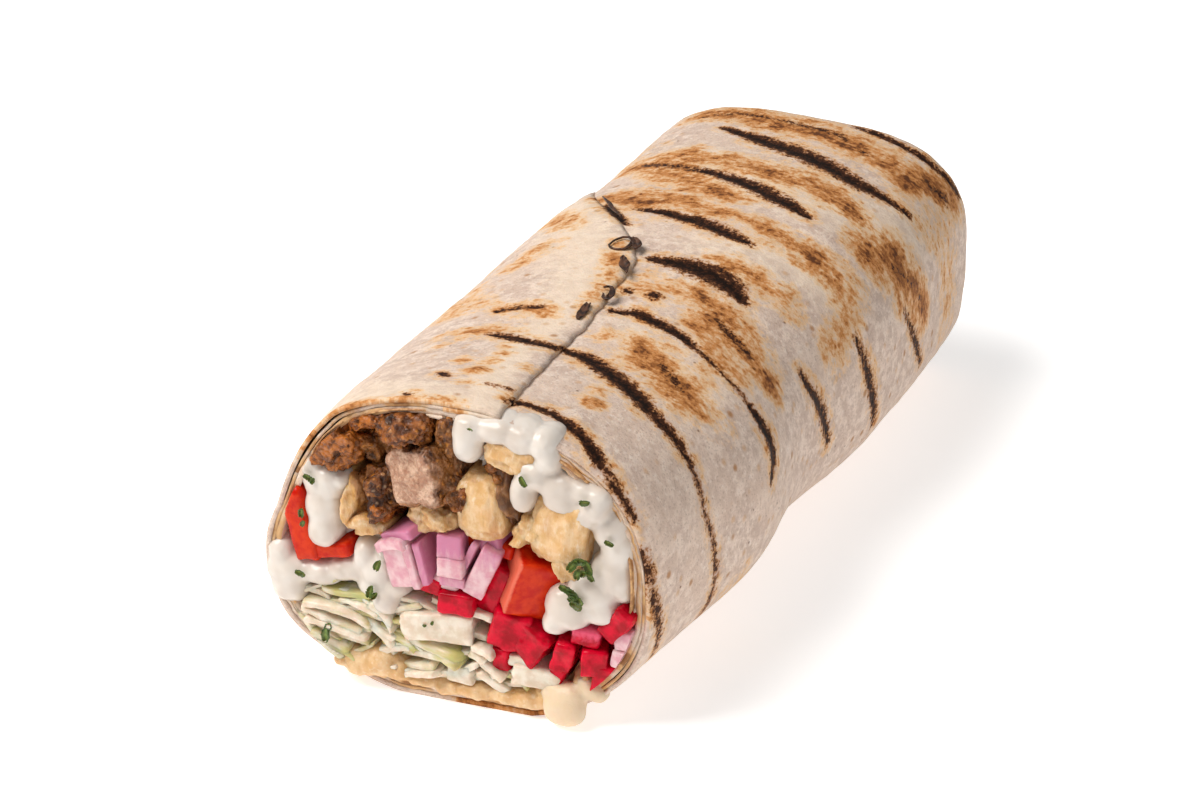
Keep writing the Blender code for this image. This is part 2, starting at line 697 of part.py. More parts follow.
def stand_on_centre(objects):
    """Moves the meshes so that the origin is under the middle of the whole part."""
    corners = [vertex.co for obj in objects for vertex in obj.data.vertices]
    low = Vector(min(corner[i] for corner in corners) for i in range(3))
    high = Vector(max(corner[i] for corner in corners) for i in range(3))
    move = Vector((-(low.x + high.x) / 2, -(low.y + high.y) / 2, -low.z))
    for obj in objects:
        obj.data.transform(Matrix.Translation(move))
    print("moved by", [round(value / MM, 3) for value in move])


def main():
    clear_scene()
    tortilla = make_tortilla()
    tortilla.data.materials.append(material("tortilla", (0.66, 0.50, 0.36), 0.7))
    hollow = hollow_of_roll()
    taken = []
    made = [tortilla]
    for name, outline, pieces, start, colour, roughness in FILLINGS:
        made.append(make_filling(name, outline, pieces, start, colour, roughness, hollow, taken))
    for cutter in list(cutters.objects):
        bpy.data.objects.remove(cutter, do_unlink=True)
    stand_on_centre(made)
    for obj in made:
        triangles = sum(len(face.vertices) - 2 for face in obj.data.polygons)
        print(obj.name, triangles)


main()
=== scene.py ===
import math

import bmesh
import bpy
import numpy as np
from mathutils import Matrix, Vector, noise


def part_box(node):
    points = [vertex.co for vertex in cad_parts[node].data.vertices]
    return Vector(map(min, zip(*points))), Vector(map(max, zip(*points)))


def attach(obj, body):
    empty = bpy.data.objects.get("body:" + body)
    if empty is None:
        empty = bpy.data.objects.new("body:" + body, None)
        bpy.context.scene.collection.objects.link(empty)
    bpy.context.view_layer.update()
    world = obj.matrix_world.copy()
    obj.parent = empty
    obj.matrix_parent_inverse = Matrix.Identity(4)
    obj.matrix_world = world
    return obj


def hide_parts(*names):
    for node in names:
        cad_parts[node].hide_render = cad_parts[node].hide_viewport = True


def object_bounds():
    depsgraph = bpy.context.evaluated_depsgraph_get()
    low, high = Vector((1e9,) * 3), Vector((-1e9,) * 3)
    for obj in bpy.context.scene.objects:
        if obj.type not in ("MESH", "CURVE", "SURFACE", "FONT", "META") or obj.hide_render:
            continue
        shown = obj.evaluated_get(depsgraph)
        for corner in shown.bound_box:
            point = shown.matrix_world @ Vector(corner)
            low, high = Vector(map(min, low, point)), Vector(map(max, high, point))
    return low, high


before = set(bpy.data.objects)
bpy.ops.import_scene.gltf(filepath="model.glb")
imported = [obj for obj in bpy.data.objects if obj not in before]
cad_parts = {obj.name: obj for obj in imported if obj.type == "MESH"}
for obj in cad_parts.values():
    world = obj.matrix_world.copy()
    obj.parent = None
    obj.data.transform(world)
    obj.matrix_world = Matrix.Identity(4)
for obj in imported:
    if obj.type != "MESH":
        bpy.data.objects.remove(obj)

# A wrap as it looks: grilled flatbread round meat, chicken, salad, pickles and white sauce, cut across at
# the front. Lengths are in metres and angles in degrees; +Y runs along the roll and +X to the right.
size_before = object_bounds()

# The flatbread: a soft thin sheet of wheat bread, rolled round the filling, pressed and marked on a grill.
# It starts at a flap along the top, goes once round and tucks under the flap. The far end is folded in.
MM = 0.001
FROM_CUT = Vector((-2.936, -94.562, 0)) * MM
CUT_SLANT = 0.10
LENGTH = 192 * MM
PRESSED_FLAT = 1.5 * MM
FULLNESS_FRONT = 2.3
FULLNESS_BACK = 3.2
# The roll's half sizes and its sideways place, at these places along it.
ALONG = np.array([0, 25, 52, 82, 118, 145, 192]) * MM
HALF_WIDTH = np.array([41.8, 44.2, 46.8, 43.9, 45.4, 43.8, 41.2]) * MM
HALF_HEIGHT = np.array([36.0, 34.4, 33.1, 33.4, 33.2, 32.3, 30.7]) * MM
SIDEWAYS = np.array([3.7, 3.1, 3.2, 2.0, 3.2, 3.8, 1.5]) * MM
BREAD = 1.15 * MM
# Near the cut its left side leans, its upper right rim turns in, and the bread is thicker there.
LEAN_HEIGHTS = np.array([0, 5, 11, 17, 28, 33, 42, 53, 60, 64, 72]) * MM
LEAN = np.array([0, 0, -2.2, -2.8, -2.2, -1.5, 1.4, 2.3, 1.3, 0, 0]) * MM
LEAN_ACROSS = 25 * MM
LEAN_ALONG = 26 * MM
TUCK = 2.4 * MM
TUCK_LENGTH = 8 * MM
TUCK_AT = 35
TUCK_SPREAD = 75
WALL_THIN = 2.2 * MM
WALL_THICK = 4.7 * MM
WALL_THICK_AT = 40
# The flap's edge as an angle at places along the roll. It fades out towards the folded end.
FLAP_ALONG = np.array([0, 45, 80, 94, 108, 123, 150, 192]) * MM
FLAP_EDGE = np.array([80, 87, 89, 92, 104, 121, 150, 176])
FLAP_FADE_FROM = 132 * MM
FLAP_FADE_LENGTH = 26 * MM
FLAP_BLEND = 75
# The folded end, and the soft unevenness of the whole sheet.
END_ROUNDING = 2.5 * MM
END_BULGE = 1.6 * MM
PLEAT_DEPTH = 1.1 * MM
PLEAT_WIDTH = 2.2 * MM
PLEAT_SLOPE = 0.62
WAVE = 0.45 * MM
WAVE_LENGTH = 22 * MM
TUCKED_UNDER = 0.05
TUCKED_IN_OVER = 0.012
SHEET_GAP = 0.1 * MM
FLAP_THINNED = 0.62 * MM
FLAP_THINNED_OVER = 3.5 * MM
MARK_SUNK = 0.35 * MM
LUMPS = 0.16 * MM
LUMP_LENGTH = 5.5 * MM
PORES = 0.05 * MM
PORE_LENGTH = 1.9 * MM
ROOM_AT_THE_BACK = 0.4 * MM
MAP_SCALE = 10
STEPS_IN_A_TURN = 1440
ANGLES = np.linspace(-90, 630, 2 * STEPS_IN_A_TURN + 1)


def smooth_between(places, values, where):
    """A smooth curve through the values, with no overshoot between them."""
    where = np.clip(where, places[0], places[-1])
    index = np.clip(np.searchsorted(places, where, "right") - 1, 0, len(places) - 2)
    slopes = np.diff(values) / np.diff(places)
    tangents = np.concatenate([[slopes[0]], (slopes[:-1] + slopes[1:]) / 2, [slopes[-1]]])
    tangents[1:-1][slopes[:-1] * slopes[1:] <= 0] = 0
    step = places[index + 1] - places[index]
    t = (where - places[index]) / step
    return (
        values[index] * (1 + 2 * t) * (1 - t) ** 2
        + values[index + 1] * t * t * (3 - 2 * t)
        + step * (tangents[index] * t * (1 - t) ** 2 + tangents[index + 1] * t * t * (t - 1))
    )


def skin(angles, y, depth):
    """Points of the roll's skin, as x and z, at these angles and this depth below it."""
    power = 2 / (FULLNESS_FRONT + (FULLNESS_BACK - FULLNESS_FRONT) * min(max(y / LENGTH, 0), 1) ** 3)
    high = smooth_between(ALONG, HALF_HEIGHT, y)
    cos, sin = np.cos(np.radians(angles)), np.sin(np.radians(angles))
    x = smooth_between(ALONG, SIDEWAYS, y)
    x = x + (smooth_between(ALONG, HALF_WIDTH, y) - depth) * np.sign(cos) * np.abs(cos) ** power
    z = high - PRESSED_FLAT + (high - depth) * np.sign(sin) * np.abs(sin) ** power
    return x + lean(x, y, z), np.maximum(z, depth)


def lean(x, y, z):
    """How far the skin leans sideways on the left near the cut."""
    left = np.clip((SIDEWAYS[0] - x) / LEAN_ACROSS, 0, 1)
    near = (1 - np.clip(y / LEAN_ALONG, 0, 1)) ** 2
    return smooth_between(LEAN_HEIGHTS, LEAN, z) * left * near


def tuck(angle, y):
    """How far the rim turns inwards at the upper right."""
    off = np.clip(np.abs((angle - TUCK_AT + 180) % 360 - 180) / TUCK_SPREAD, 0, 1)
    return TUCK * (0.5 + 0.5 * np.cos(np.pi * off)) * (1 - np.clip(y / TUCK_LENGTH, 0, 1)) ** 2


def distance_round(y):
    """How far round the skin each of the ANGLES lies, and how long one turn is."""
    x, z = skin(ANGLES, y, 0)
    far = np.concatenate([[0], np.cumsum(np.hypot(np.diff(x), np.diff(z)))])
    return far, far[STEPS_IN_A_TURN]


def right_of_top(angle, y):
    """How far round from the top line a place on the skin is, to the right."""
    far, turn = distance_round(y)
    return np.interp(90, ANGLES, far) - np.interp(angle, ANGLES, far)


def under_flap(angle, y):
    """How much deeper a sheet lies just right of the flap, which is one sheet thick."""
    far, turn = distance_round(y)
    edge = smooth_between(FLAP_ALONG, FLAP_EDGE, y)
    behind = (np.interp(edge, ANGLES, far) - np.interp(angle, ANGLES, far)) / turn * 360
    past = np.where(behind < 0, -behind * 6, behind) / FLAP_BLEND
    return BREAD * (0.5 + 0.5 * np.cos(np.pi * np.clip(past, 0, 1)))


def share_in(value, low, high):
    t = np.clip((value - low) / (high - low), 0, 1)
    return t * t * (3 - 2 * t)


def stroke_field(right, y, turn, strokes, swell=1.0, more=0.0, curve=1):
    """1 on a stroke's middle line, falling to 0 at its edge. Its points are angle, y and half width."""
    field = np.zeros(len(right))
    for strength, points in strokes:
        line = [
            (right_of_top(angle, along * MM), along * MM, (half * swell + more) * MM)
            for angle, along, half in points
        ]
        for one, two in zip(line, line[1:] + line[-1:] * (len(line) == 1)):
            across, along = two[0] - one[0], two[1] - one[1]
            off = (right - one[0] + turn / 2) % turn - turn / 2
            t = np.clip((off * across + (y - one[1]) * along) / max(across**2 + along**2, 1e-12), 0, 1)
            away = np.hypot(off - t * across, y - one[1] - t * along)
            field = np.maximum(field, strength * (1 - (away / (one[2] + t * (two[2] - one[2]))) ** curve))
    return np.maximum(field, 0)


def noise_at(points, size, seed=0):
    shift = Vector((seed * 7.3, seed * 3.1, seed * 5.7))
    return np.array([noise.noise(Vector(point) / size + shift) for point in points])


def shown(obj, node):
    """Adds a finished piece that stands for the node."""
    bpy.context.scene.collection.objects.link(obj)
    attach(obj, "root")
    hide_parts(node)
    return obj


def kept_in(bm, low, high):
    """Keeps the points of a piece inside a box."""
    for vertex in bm.verts:
        vertex.co = Vector(min(max(value, a), b) for value, a, b in zip(vertex.co, low, high))


def faced_outward(bm, middle):
    """Turns the faces of an open sheet away from the middle."""
    bmesh.ops.recalc_face_normals(bm, faces=bm.faces)
    if sum(face.normal.dot(face.calc_center_median() - Vector(middle)) for face in bm.faces) < 0:
        bmesh.ops.reverse_faces(bm, faces=bm.faces)


def mesh_of(name, bm):
    mesh = bpy.data.meshes.new(name)
    bm.to_mesh(mesh)
    bm.free()
    mesh.shade_smooth()
    return mesh


def walled(name, mesh, thickness, clamp=0):
    """A sheet with a wall of this thickness, which goes inwards."""
    obj = bpy.data.objects.new(name, mesh)
    wall = obj.modifiers.new("sheet thickness", "SOLIDIFY")
    wall.thickness = thickness
    wall.offset = -1
    wall.thickness_clamp = clamp
    return obj


def set_values(mesh, name, values):
    made = mesh.attributes.new(name, "FLOAT", "POINT")
    made.data.foreach_set("value", np.asarray(values, np.float32))


# Marks and patches are strokes: how strong, then angle, distance from the cut and half width along them.
GRILL_MARKS = [
    (1.0, [(105, 174, 1.5), (94, 169.5, 4), (88, 165, 5), (78, 161, 5.2), (64, 157.5, 4.2), (48, 158.5, 2.2),
           (38, 160, 1.3)]),
    (0.66, [(123, 149, 2.1), (106, 145.5, 2.9), (96, 143, 2.7)]),
    (1.0, [(98, 143.5, 2.1), (94, 142.5, 3.2), (87, 138.5, 4), (78, 134.5, 4.4), (66, 130.5, 1.5)]),
    (1.0, [(103, 116.5, 1.3), (94, 115.5, 2.9), (87, 113.5, 3.7), (79, 110.5, 3.7), (71, 109, 1.5)]),
    (1.0, [(88, 91.5, 2.3), (80, 91.8, 4.8), (71, 91.5, 6.1), (64, 90, 5.3), (57, 87, 2.5)]),
    (1.0, [(86, 64.5, 1.5), (80, 66, 2.5), (73, 64.5, 3), (65, 62.5, 2.5), (60, 60.5, 1.9)]),
    (0.72, [(60, 60.5, 1.6), (50, 58, 1.3), (42, 57, 1.3), (34, 56, 1.7)]),
    (0.98, [(34, 56, 1.7), (26, 56, 2.9), (18, 56, 2.7), (11, 54.5, 2.3), (6, 52, 1.1)]),
    (0.94, [(105, 43, 1.1), (100, 42.3, 2.2), (94, 41, 2.7), (88, 40, 2.3)]),
    (1.0, [(86, 41.5, 2.1), (80, 40.5, 3.5), (69, 36, 4.2), (58, 32, 4), (54, 30, 3.5)]),
    (0.86, [(54, 30, 3.5), (48, 28.5, 3.2), (39, 27, 2.7), (32, 26, 2.3)]),
    (0.66, [(32, 26, 2.1), (13, 23.5, 1.5), (-2, 27, 1.7), (-20, 29, 1.7), (-40, 30, 1.5)]),
    (0.98, [(82, 6.5, 1.1), (79, 9.5, 1.9), (70, 9.5, 2.2), (63, 7.5, 2.5), (55, 5.5, 2.5), (47, 2.8, 2.3)]),
    (0.72, [(47, 2.8, 2.1), (37, 1.2, 1.7), (24, 1, 1.5)]),
    (0.62, [(12, 0, 1.9), (6, 0, 2.9), (2, 1, 1.9)]),
    (0.74, [(0, 1, 1.7), (-5, 2, 2.4), (-16, 5, 1.7), (-30, 8, 1.7)]),
    (0.95, [(23, 84, 1.3), (14, 86, 2.2), (3, 90, 2.7), (-7, 94, 1.5)]),
    (0.95, [(19, 109, 1.3), (5, 112, 2.3), (-5, 116, 2.4), (-18, 120, 1.3)]),
    (0.9, [(11, 136, 1.3), (0, 143, 2.3), (-12, 151, 1.5)]),
    (1.0, [(116, 120, 1.1), (108, 113, 1.9), (101, 107, 1.3)]),
    (0.8, [(110, 56, 1.3), (104, 58, 2.1), (98, 59, 1.3)]),
    (0.95, [(86, 75, 2.3)]),
    (0.95, [(79, 75, 2.7)]),
    (0.66, [(90, 12, 0.85), (84, 12, 1.5)]),
    (0.9, [(102, 16, 1.9), (100, 15, 1.5)]),
    (0.9, [(104, 2.4, 1.7)]),
    (0.6, [(92, 184, 1.9), (84, 181, 3), (80, 179, 2.3)]),
    (0.62, [(118, 183, 1.3), (104, 185, 2.2), (93, 184, 1.3)]),
    (0.66, [(72, 175, 2.9)]),
    (0.62, [(58, 75, 2.2), (50, 72, 3.4), (42, 70.5, 2.2)]),
    (0.6, [(64, 48.5, 2.2), (58, 46, 2.9), (53, 43.5, 1.9)]),
    (0.66, [(30, 180, 2.7), (42, 178, 2.4)]),
    (0.5, [(30, 138, 2.5), (18, 143, 2.5), (8, 148, 2.3)]),
    (0.9, [(81, 189, 2.1), (70, 187.5, 2.2), (60, 186.5, 2.4), (46, 187, 2.2), (26, 189, 2.3)]),
]
TOASTED = [
    (1.2, [(52, 170, 6), (42, 176, 6), (30, 183, 6)]),
    (1.15, [(92, 181, 5), (86, 179, 6), (78, 175, 5)]),
    (1.0, [(120, 126, 5), (108, 122, 6), (98, 120, 5)]),
    (0.8, [(62, 70, 4), (55, 64, 6), (44, 60, 5)]),
    (0.7, [(40, 120, 6), (30, 112, 6), (20, 100, 6)]),
    (0.8, [(134, 66, 4), (128, 60, 5)]),
    (0.85, [(112, 44, 4), (104, 46, 4)]),
    (0.7, [(124, 84, 5), (118, 92, 5)]),
    (0.9, [(114, 128, 5), (104, 125, 7), (96, 124, 7), (89, 122, 7), (80, 119, 3)]),
    (0.8, [(122, 154, 4), (108, 155, 6), (94, 152, 4)]),
    (0.95, [(128, 150, 5), (114, 148, 8), (100, 138, 8), (88, 128, 6)]),
    (0.95, [(116, 152, 4), (100, 152, 6), (84, 149, 7), (70, 146, 8), (55, 143, 5)]),
    (0.95, [(122, 184, 5), (104, 184, 8), (90, 182, 9), (72, 176, 9), (56, 174, 8), (40, 178, 9),
            (28, 184, 8)]),
    (0.9, [(78, 121, 3), (64, 116, 6), (52, 115, 7), (41, 115, 5)]),
    (0.8, [(77, 98, 3), (69, 96.5, 6), (61, 96.5, 6), (52, 96, 6), (42, 95, 4)]),
    (0.95, [(68, 82, 5), (58, 75.5, 9), (50, 72, 10), (42, 70.5, 9), (28, 69, 4)]),
    (0.95, [(73, 54, 4), (69, 51, 8), (62, 47.5, 10), (53, 43, 9), (44, 41, 5)]),
    (0.5, [(46, 40, 6), (38, 42, 6)]),
    (1.1, [(45, 131, 4), (41, 132, 7), (35, 136, 10), (27, 140, 11), (18, 143, 9), (4, 149, 7)]),
    (0.6, [(45, 158, 3), (30, 162, 5), (16, 166, 4)]),
    (0.55, [(34, 170, 8), (14, 172, 9), (-6, 174, 8)]),
    (0.6, [(84, 52, 3), (78, 54, 5)]),
    (0.7, [(88, 76, 5), (82, 80, 7), (75, 79.5, 7)]),
    (0.75, [(117, 104, 4), (124, 110, 6), (132, 114, 4)]),
    (0.5, [(100, 110, 4), (108, 118, 5)]),
    (0.7, [(96, 94, 3), (92, 84, 3.4), (90.6, 74, 3), (90, 58, 2)]),
    (0.7, [(112, 58, 3), (102, 57, 5), (94, 57, 2)]),
    (0.55, [(118, 60, 4), (126, 66, 5), (132, 74, 4)]),
    (1.4, [(95, 20, 3.2)]),
    (0.85, [(95, 26, 2.4)]),
    (0.94, [(102, 26, 2.2)]),
    (0.77, [(94, 32, 2.2)]),
    (0.85, [(87, 26, 2.4)]),
    (1.2, [(66.5, 21.5, 3.2)]),
    (0.9, [(68, 27, 2.4)]),
    (0.85, [(94, 12, 2.2)]),
    (0.5, [(108, 43, 4), (100, 46, 4)]),
    (0.45, [(115, 36, 3), (118, 44, 4)]),
    (0.5, [(-24, 41, 6), (-34, 46, 5)]),
    (0.59, [(96, 36, 2.2)]),
    (0.6, [(200, 40, 9), (215, 70, 7)]),
    (0.6, [(190, 110, 8), (170, 128, 9)]),
    (0.5, [(140, 160, 12), (160, 170, 10)]),
    (1.2, [(176, 22, 4)]),
    (0.9, [(-58, 0, 2.4), (-84, 0, 3), (-112, 0, 2.4)]),
    (0.7, [(150, 0, 2.6), (128, 0, 2.4), (104, 0, 2.4), (90, 0.5, 2.4)]),
    (0.6, [(160, 60, 5)]),
    (0.5, [(150, 90, 7)]),
    (0.85, [(62, 199, 4), (92, 202, 5), (122, 204, 5)]),
    (0.7, [(196, 203, 5), (230, 206, 5)]),
    (0.6, [(300, 205, 6), (330, 202, 4)]),
    (0.8, [(10, 204, 4), (24, 208, 4)]),
]
CREAM = [
    (0.9, [(128, 118, 14), (108, 98, 16), (98, 80, 14), (94, 60, 9), (92, 30, 7), (88, 4, 8)]),
    (0.8, [(150, 10, 20), (100, 4, 12), (84, 2, 8)]),
    (0.5, [(80, 62, 10), (66, 50, 14), (50, 46, 12)]),
    (0.7, [(110, 150, 18), (70, 140, 22), (40, 150, 18)]),
    (0.6, [(80, 104, 12), (60, 108, 16), (40, 110, 14)]),
]
# Blisters where the bread puffed up: angle, distance from the cut, size and height.
BLISTERS = [
    (95, 20, 3.0, 0.5), (102, 16, 2.4, 0.4), (66.5, 21.5, 3.2, 0.5), (68, 27, 2.2, 0.4),
    (62, 10, 3.4, 0.4), (66, 14, 2.8, 0.35), (104, 30, 3.0, 0.35), (110, 43, 3.2, 0.35),
    (79, 75, 3.6, 0.5), (84, 56, 2.6, 0.3), (58, 127, 7.0, 0.6), (50, 97, 5.0, 0.3), (35, 70, 4.0, 0.3),
    (118, 38, 3.4, 0.4), (-1, 81, 3.0, 0.3), (-23, 42, 4.0, 0.4), (20, 120, 5.0, 0.35),
    (90, 148, 4.0, 0.3), (120, 90, 5.0, 0.4), (30, 40, 3.5, 0.3),
]


def flat_profile(reach):
    """Carries a distance from the cut over the rounded end: y, depth, the skin's bend and the share of the end."""
    straight = LENGTH - END_ROUNDING
    corner = END_ROUNDING * math.pi / 2
    if reach <= straight:
        return reach, 0.0, 0.0, 0.0
    bend = min((reach - straight) / END_ROUNDING, math.pi / 2)
    y = LENGTH - END_ROUNDING * (1 - math.sin(bend))
    depth = END_ROUNDING * (1 - math.cos(bend))
    share = max(reach - straight - corner, 0) / (HALF_HEIGHT[-1] - END_ROUNDING)
    depth += (HALF_HEIGHT[-1] - END_ROUNDING) * share
    return y + END_BULGE * math.sin(min(share, 1) * math.pi / 2), depth, bend, share


def build_sheet():
    reach = LENGTH - END_ROUNDING + END_ROUNDING * math.pi / 2 + HALF_HEIGHT[-1] - END_ROUNDING
    rows, columns = 178, 214
    bm = bmesh.new()
    bmesh.ops.create_grid(bm, x_segments=columns, y_segments=rows, size=1)
    bm.verts.ensure_lookup_table()
    grid = {}
    for vertex in bm.verts:
        place = (round((vertex.co.x + 1) / 2 * columns), round((vertex.co.y + 1) / 2 * rows))
        grid[place] = vertex.index
    count = len(bm.verts)
    right = np.zeros(count)
    along = np.zeros(count)
    where = np.zeros((count, 3))
    leaning = np.zeros(count)
    shares = np.zeros(count)
    angle_of = np.zeros(count)
    turns = np.zeros(count)
    depths = np.zeros(count)
    laps = np.zeros(count)
    for row in range(rows + 1):
        y, depth, bend, share = flat_profile(reach * row / rows)
        far, turn = distance_round(min(y, LENGTH))
        ragged = 0.8 * noise.noise(Vector((y / (5 * MM), 3.3, 0)))
        ragged += 0.3 * noise.noise(Vector((y / (1.8 * MM), 8, 0)))
        edge = smooth_between(FLAP_ALONG, FLAP_EDGE, y) + ragged
        start = np.interp(edge, ANGLES, far)
        for column in range(columns + 1):
            index = grid[(column, row)]
            passed = column / columns * (1 + TUCKED_UNDER)
            angle = np.interp(start + passed * turn, far, ANGLES)
            angle_of[index] = angle
            right[index] = np.interp(90, ANGLES, far) - (start + passed * turn)
            along[index] = reach * row / rows
            leaning[index] = bend
            shares[index] = share
            turns[index] = passed
            depths[index] = depth
            laps[index] = turn
            where[index, 1] = y
    return bm, right, along, where, leaning, shares, angle_of, turns, depths, laps


def bread_sheet():
    bm, right, along, where, leaning, shares, angle_of, turns, depths, turn = build_sheet()
    char = stroke_field(right, along, turn, GRILL_MARKS)
    toast = stroke_field(right, along, turn, TOASTED, 1.3, 0.6, 1.4)
    toast = np.maximum(toast, 0.52 * stroke_field(right, along, turn, GRILL_MARKS, 1.3, 2.2, 2))
    cream = stroke_field(right, along, turn, CREAM)
    behind = np.clip((1 - turns) * 360, 0, 360)
    fade = 1 - np.clip((where[:, 1] - FLAP_FADE_FROM) / FLAP_FADE_LENGTH, 0, 1)
    dip = BREAD * fade * (0.5 + 0.5 * np.cos(np.pi * np.clip(behind / FLAP_BLEND, 0, 1)))
    dip[turns <= 0] = 0
    tucked = np.clip((turns - 1) / TUCKED_IN_OVER, 0, 1)
    dip = np.where(turns > 1, dip * (1 - tucked) + (BREAD + SHEET_GAP) * tucked, dip)
    bump = np.zeros(len(right))
    for angle, y, size, height in BLISTERS:
        off = (right - right_of_top(angle, y * MM) + turn / 2) % turn - turn / 2
        away = np.hypot(off, along - y * MM) / (size * MM)
        bump += height * MM * np.clip(1 - away**2, 0, 1) ** 2
    thin_edge = FLAP_THINNED * (1 - np.clip(turns * turn / FLAP_THINNED_OVER, 0, 1)) ** 2
    inward = dip + MARK_SUNK * share_in(char, 0.45, 0.8) + tuck(angle_of, where[:, 1]) + thin_edge
    points = np.zeros((len(right), 3))
    for index in range(len(right)):
        y = where[index, 1]
        x, z = skin(angle_of[index], y, depths[index])
        points[index] = (float(x), y, float(z))
    rough = -WAVE * noise_at(points, WAVE_LENGTH) * (shares <= 0)
    rough += LUMPS * noise_at(points, LUMP_LENGTH, 1) + PORES * noise_at(points, PORE_LENGTH, 2)
    inward = inward + rough - np.where(turns < 1, bump, 0)
    middle = HALF_HEIGHT[-1]
    for index, vertex in enumerate(bm.verts):
        bend = leaning[index]
        depth = depths[index] + inward[index] * math.cos(bend)
        y = where[index, 1]
        x, z = skin(angle_of[index], y, depth)
        low = 0 if depths[index] > 0 else max(dip[index], 0)
        x, z = float(x), max(float(z), low)
        back = inward[index] * math.sin(bend)
        if shares[index] > 0:
            height = z - middle
            crease = min(abs(height - PLEAT_SLOPE * x), abs(height + PLEAT_SLOPE * x), 3 * PLEAT_WIDTH)
            back += PLEAT_DEPTH * math.exp(-((crease / PLEAT_WIDTH) ** 2)) * (1 - 0.5 * shares[index])
            back -= PLEAT_DEPTH * (height > abs(x) * PLEAT_SLOPE) * min(shares[index] * 6, 1)
        slanted = CUT_SLANT * x * (1 - min(max(y / LENGTH, 0), 1)) ** 2
        vertex.co = Vector((x, y + slanted - back, z)) + FROM_CUT
    layer = bm.loops.layers.uv.new("sheet")
    for face in bm.faces:
        for loop in face.loops:
            loop[layer].uv = (right[loop.vert.index] * MAP_SCALE, along[loop.vert.index] * MAP_SCALE)
    low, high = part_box("tortilla")
    kept_in(bm, low, Vector(high) - Vector((0, ROOM_AT_THE_BACK, 0)))
    faced_outward(bm, (0, 0, 0.034))
    mesh = mesh_of("bread_outer_sheet", bm)
    set_values(mesh, "char", char)
    set_values(mesh, "toast", toast)
    set_values(mesh, "cream", cream)
    return walled("bread_outer_sheet", mesh, BREAD, clamp=1.2)


def shader(name):
    made = bpy.data.materials.new(name)
    made.use_nodes = True
    return made, made.node_tree, made.node_tree.nodes["Principled BSDF"]


def put(tree, target, value):
    if isinstance(value, bpy.types.NodeSocket):
        tree.links.new(value, target)
    elif target.type == "RGBA":
        target.default_value = (*value, 1)
    else:
        target.default_value = value


def coordinates(tree):
    return tree.nodes.new("ShaderNodeTexCoord").outputs["Object"]


def value_of(tree, name):
    made = tree.nodes.new("ShaderNodeAttribute")
    made.attribute_name = name
    return made.outputs["Fac"]


def speckle(tree, where, size, detail=3, roughness=0.5):
    """Soft noise whose blobs are about this size in metres."""
    made = tree.nodes.new("ShaderNodeTexNoise")
    put(tree, made.inputs["Vector"], where)
    made.inputs["Scale"].default_value = 1 / size
    made.inputs["Detail"].default_value = detail
    made.inputs["Roughness"].default_value = roughness
    return made.outputs["Fac"]


def stretched(tree, where, scale):
    made = tree.nodes.new("ShaderNodeMapping")
    put(tree, made.inputs["Vector"], where)
    made.inputs["Scale"].default_value = scale
    return made.outputs["Vector"]


def sums(tree, how, one, two):
    made = tree.nodes.new("ShaderNodeMath")
    made.operation = how
    put(tree, made.inputs[0], one)
    put(tree, made.inputs[1], two)
    return made.outputs[0]


def rising(tree, value, low, high, to=1.0):
    """0 below low, to above high, smooth between. low may be the larger one."""
    made = tree.nodes.new("ShaderNodeMapRange")
    made.interpolation_type = "SMOOTHSTEP"
    put(tree, made.inputs["Value"], value)
    flip = low > high
    made.inputs["From Min"].default_value = min(low, high)
    made.inputs["From Max"].default_value = max(low, high)
    made.inputs["To Min"].default_value = to if flip else 0
    made.inputs["To Max"].default_value = 0 if flip else to
    return made.outputs[0]


def mixed(tree, factor, one, two):
    made = tree.nodes.new("ShaderNodeMix")
    made.data_type = "RGBA"
    put(tree, made.inputs[0], factor)
    put(tree, made.inputs[6], one)
    put(tree, made.inputs[7], two)
    return made.outputs[2]


def over(tree, colour, shade, value, low, high, most=1.0):
    """Lays a shade over the colour where the value rises from low to high."""
    return mixed(tree, rising(tree, value, low, high, most), colour, shade)


def plus(tree, one, two, times):
    return sums(tree, "ADD", one, sums(tree, "MULTIPLY", two, times))


def surface(principled, shine=None, roughness=None, soft=0.0, glow=(1.0, 0.5, 0.25), reach=1.5):
    """Sets how shiny and rough a surface is, and how far light goes into it, in millimetres."""
    if shine is not None:
        principled.inputs["Specular IOR Level"].default_value = shine
    if roughness is not None:
        principled.inputs["Roughness"].default_value = roughness
    principled.inputs["Subsurface Weight"].default_value = soft
    principled.inputs["Subsurface Radius"].default_value = glow
    principled.inputs["Subsurface Scale"].default_value = reach * MM


def grains(tree, where, size):
    """Little cells of this size: the distance from each one's middle, and two random values for each."""
    cells = tree.nodes.new("ShaderNodeTexVoronoi")
    put(tree, cells.inputs["Vector"], where)
    cells.inputs["Scale"].default_value = 1 / size
    split = tree.nodes.new("ShaderNodeSeparateColor")
    put(tree, split.inputs[0], cells.outputs["Color"])
    return cells.outputs["Distance"], split.outputs[0], split.outputs[1]


def spots(tree, where, size, rare, reach, softness=0.08):
    """Round spots: cells of this size in metres, of which the share rare carries a spot."""
    distance, value, other = grains(tree, where, size)
    chosen = sums(tree, "GREATER_THAN", value, 1 - rare)
    return sums(tree, "MULTIPLY", chosen, rising(tree, distance, reach + softness, reach - softness))


def swing(tree, value, amount):
    """Noise moved to swing about zero."""
    return sums(tree, "MULTIPLY", sums(tree, "SUBTRACT", value, 0.5), amount)


def relief(tree, principled, height, strength, distance):
    made = tree.nodes.new("ShaderNodeBump")
    made.inputs["Strength"].default_value = strength
    made.inputs["Distance"].default_value = distance
    put(tree, made.inputs["Height"], height)
    put(tree, principled.inputs["Normal"], made.outputs["Normal"])


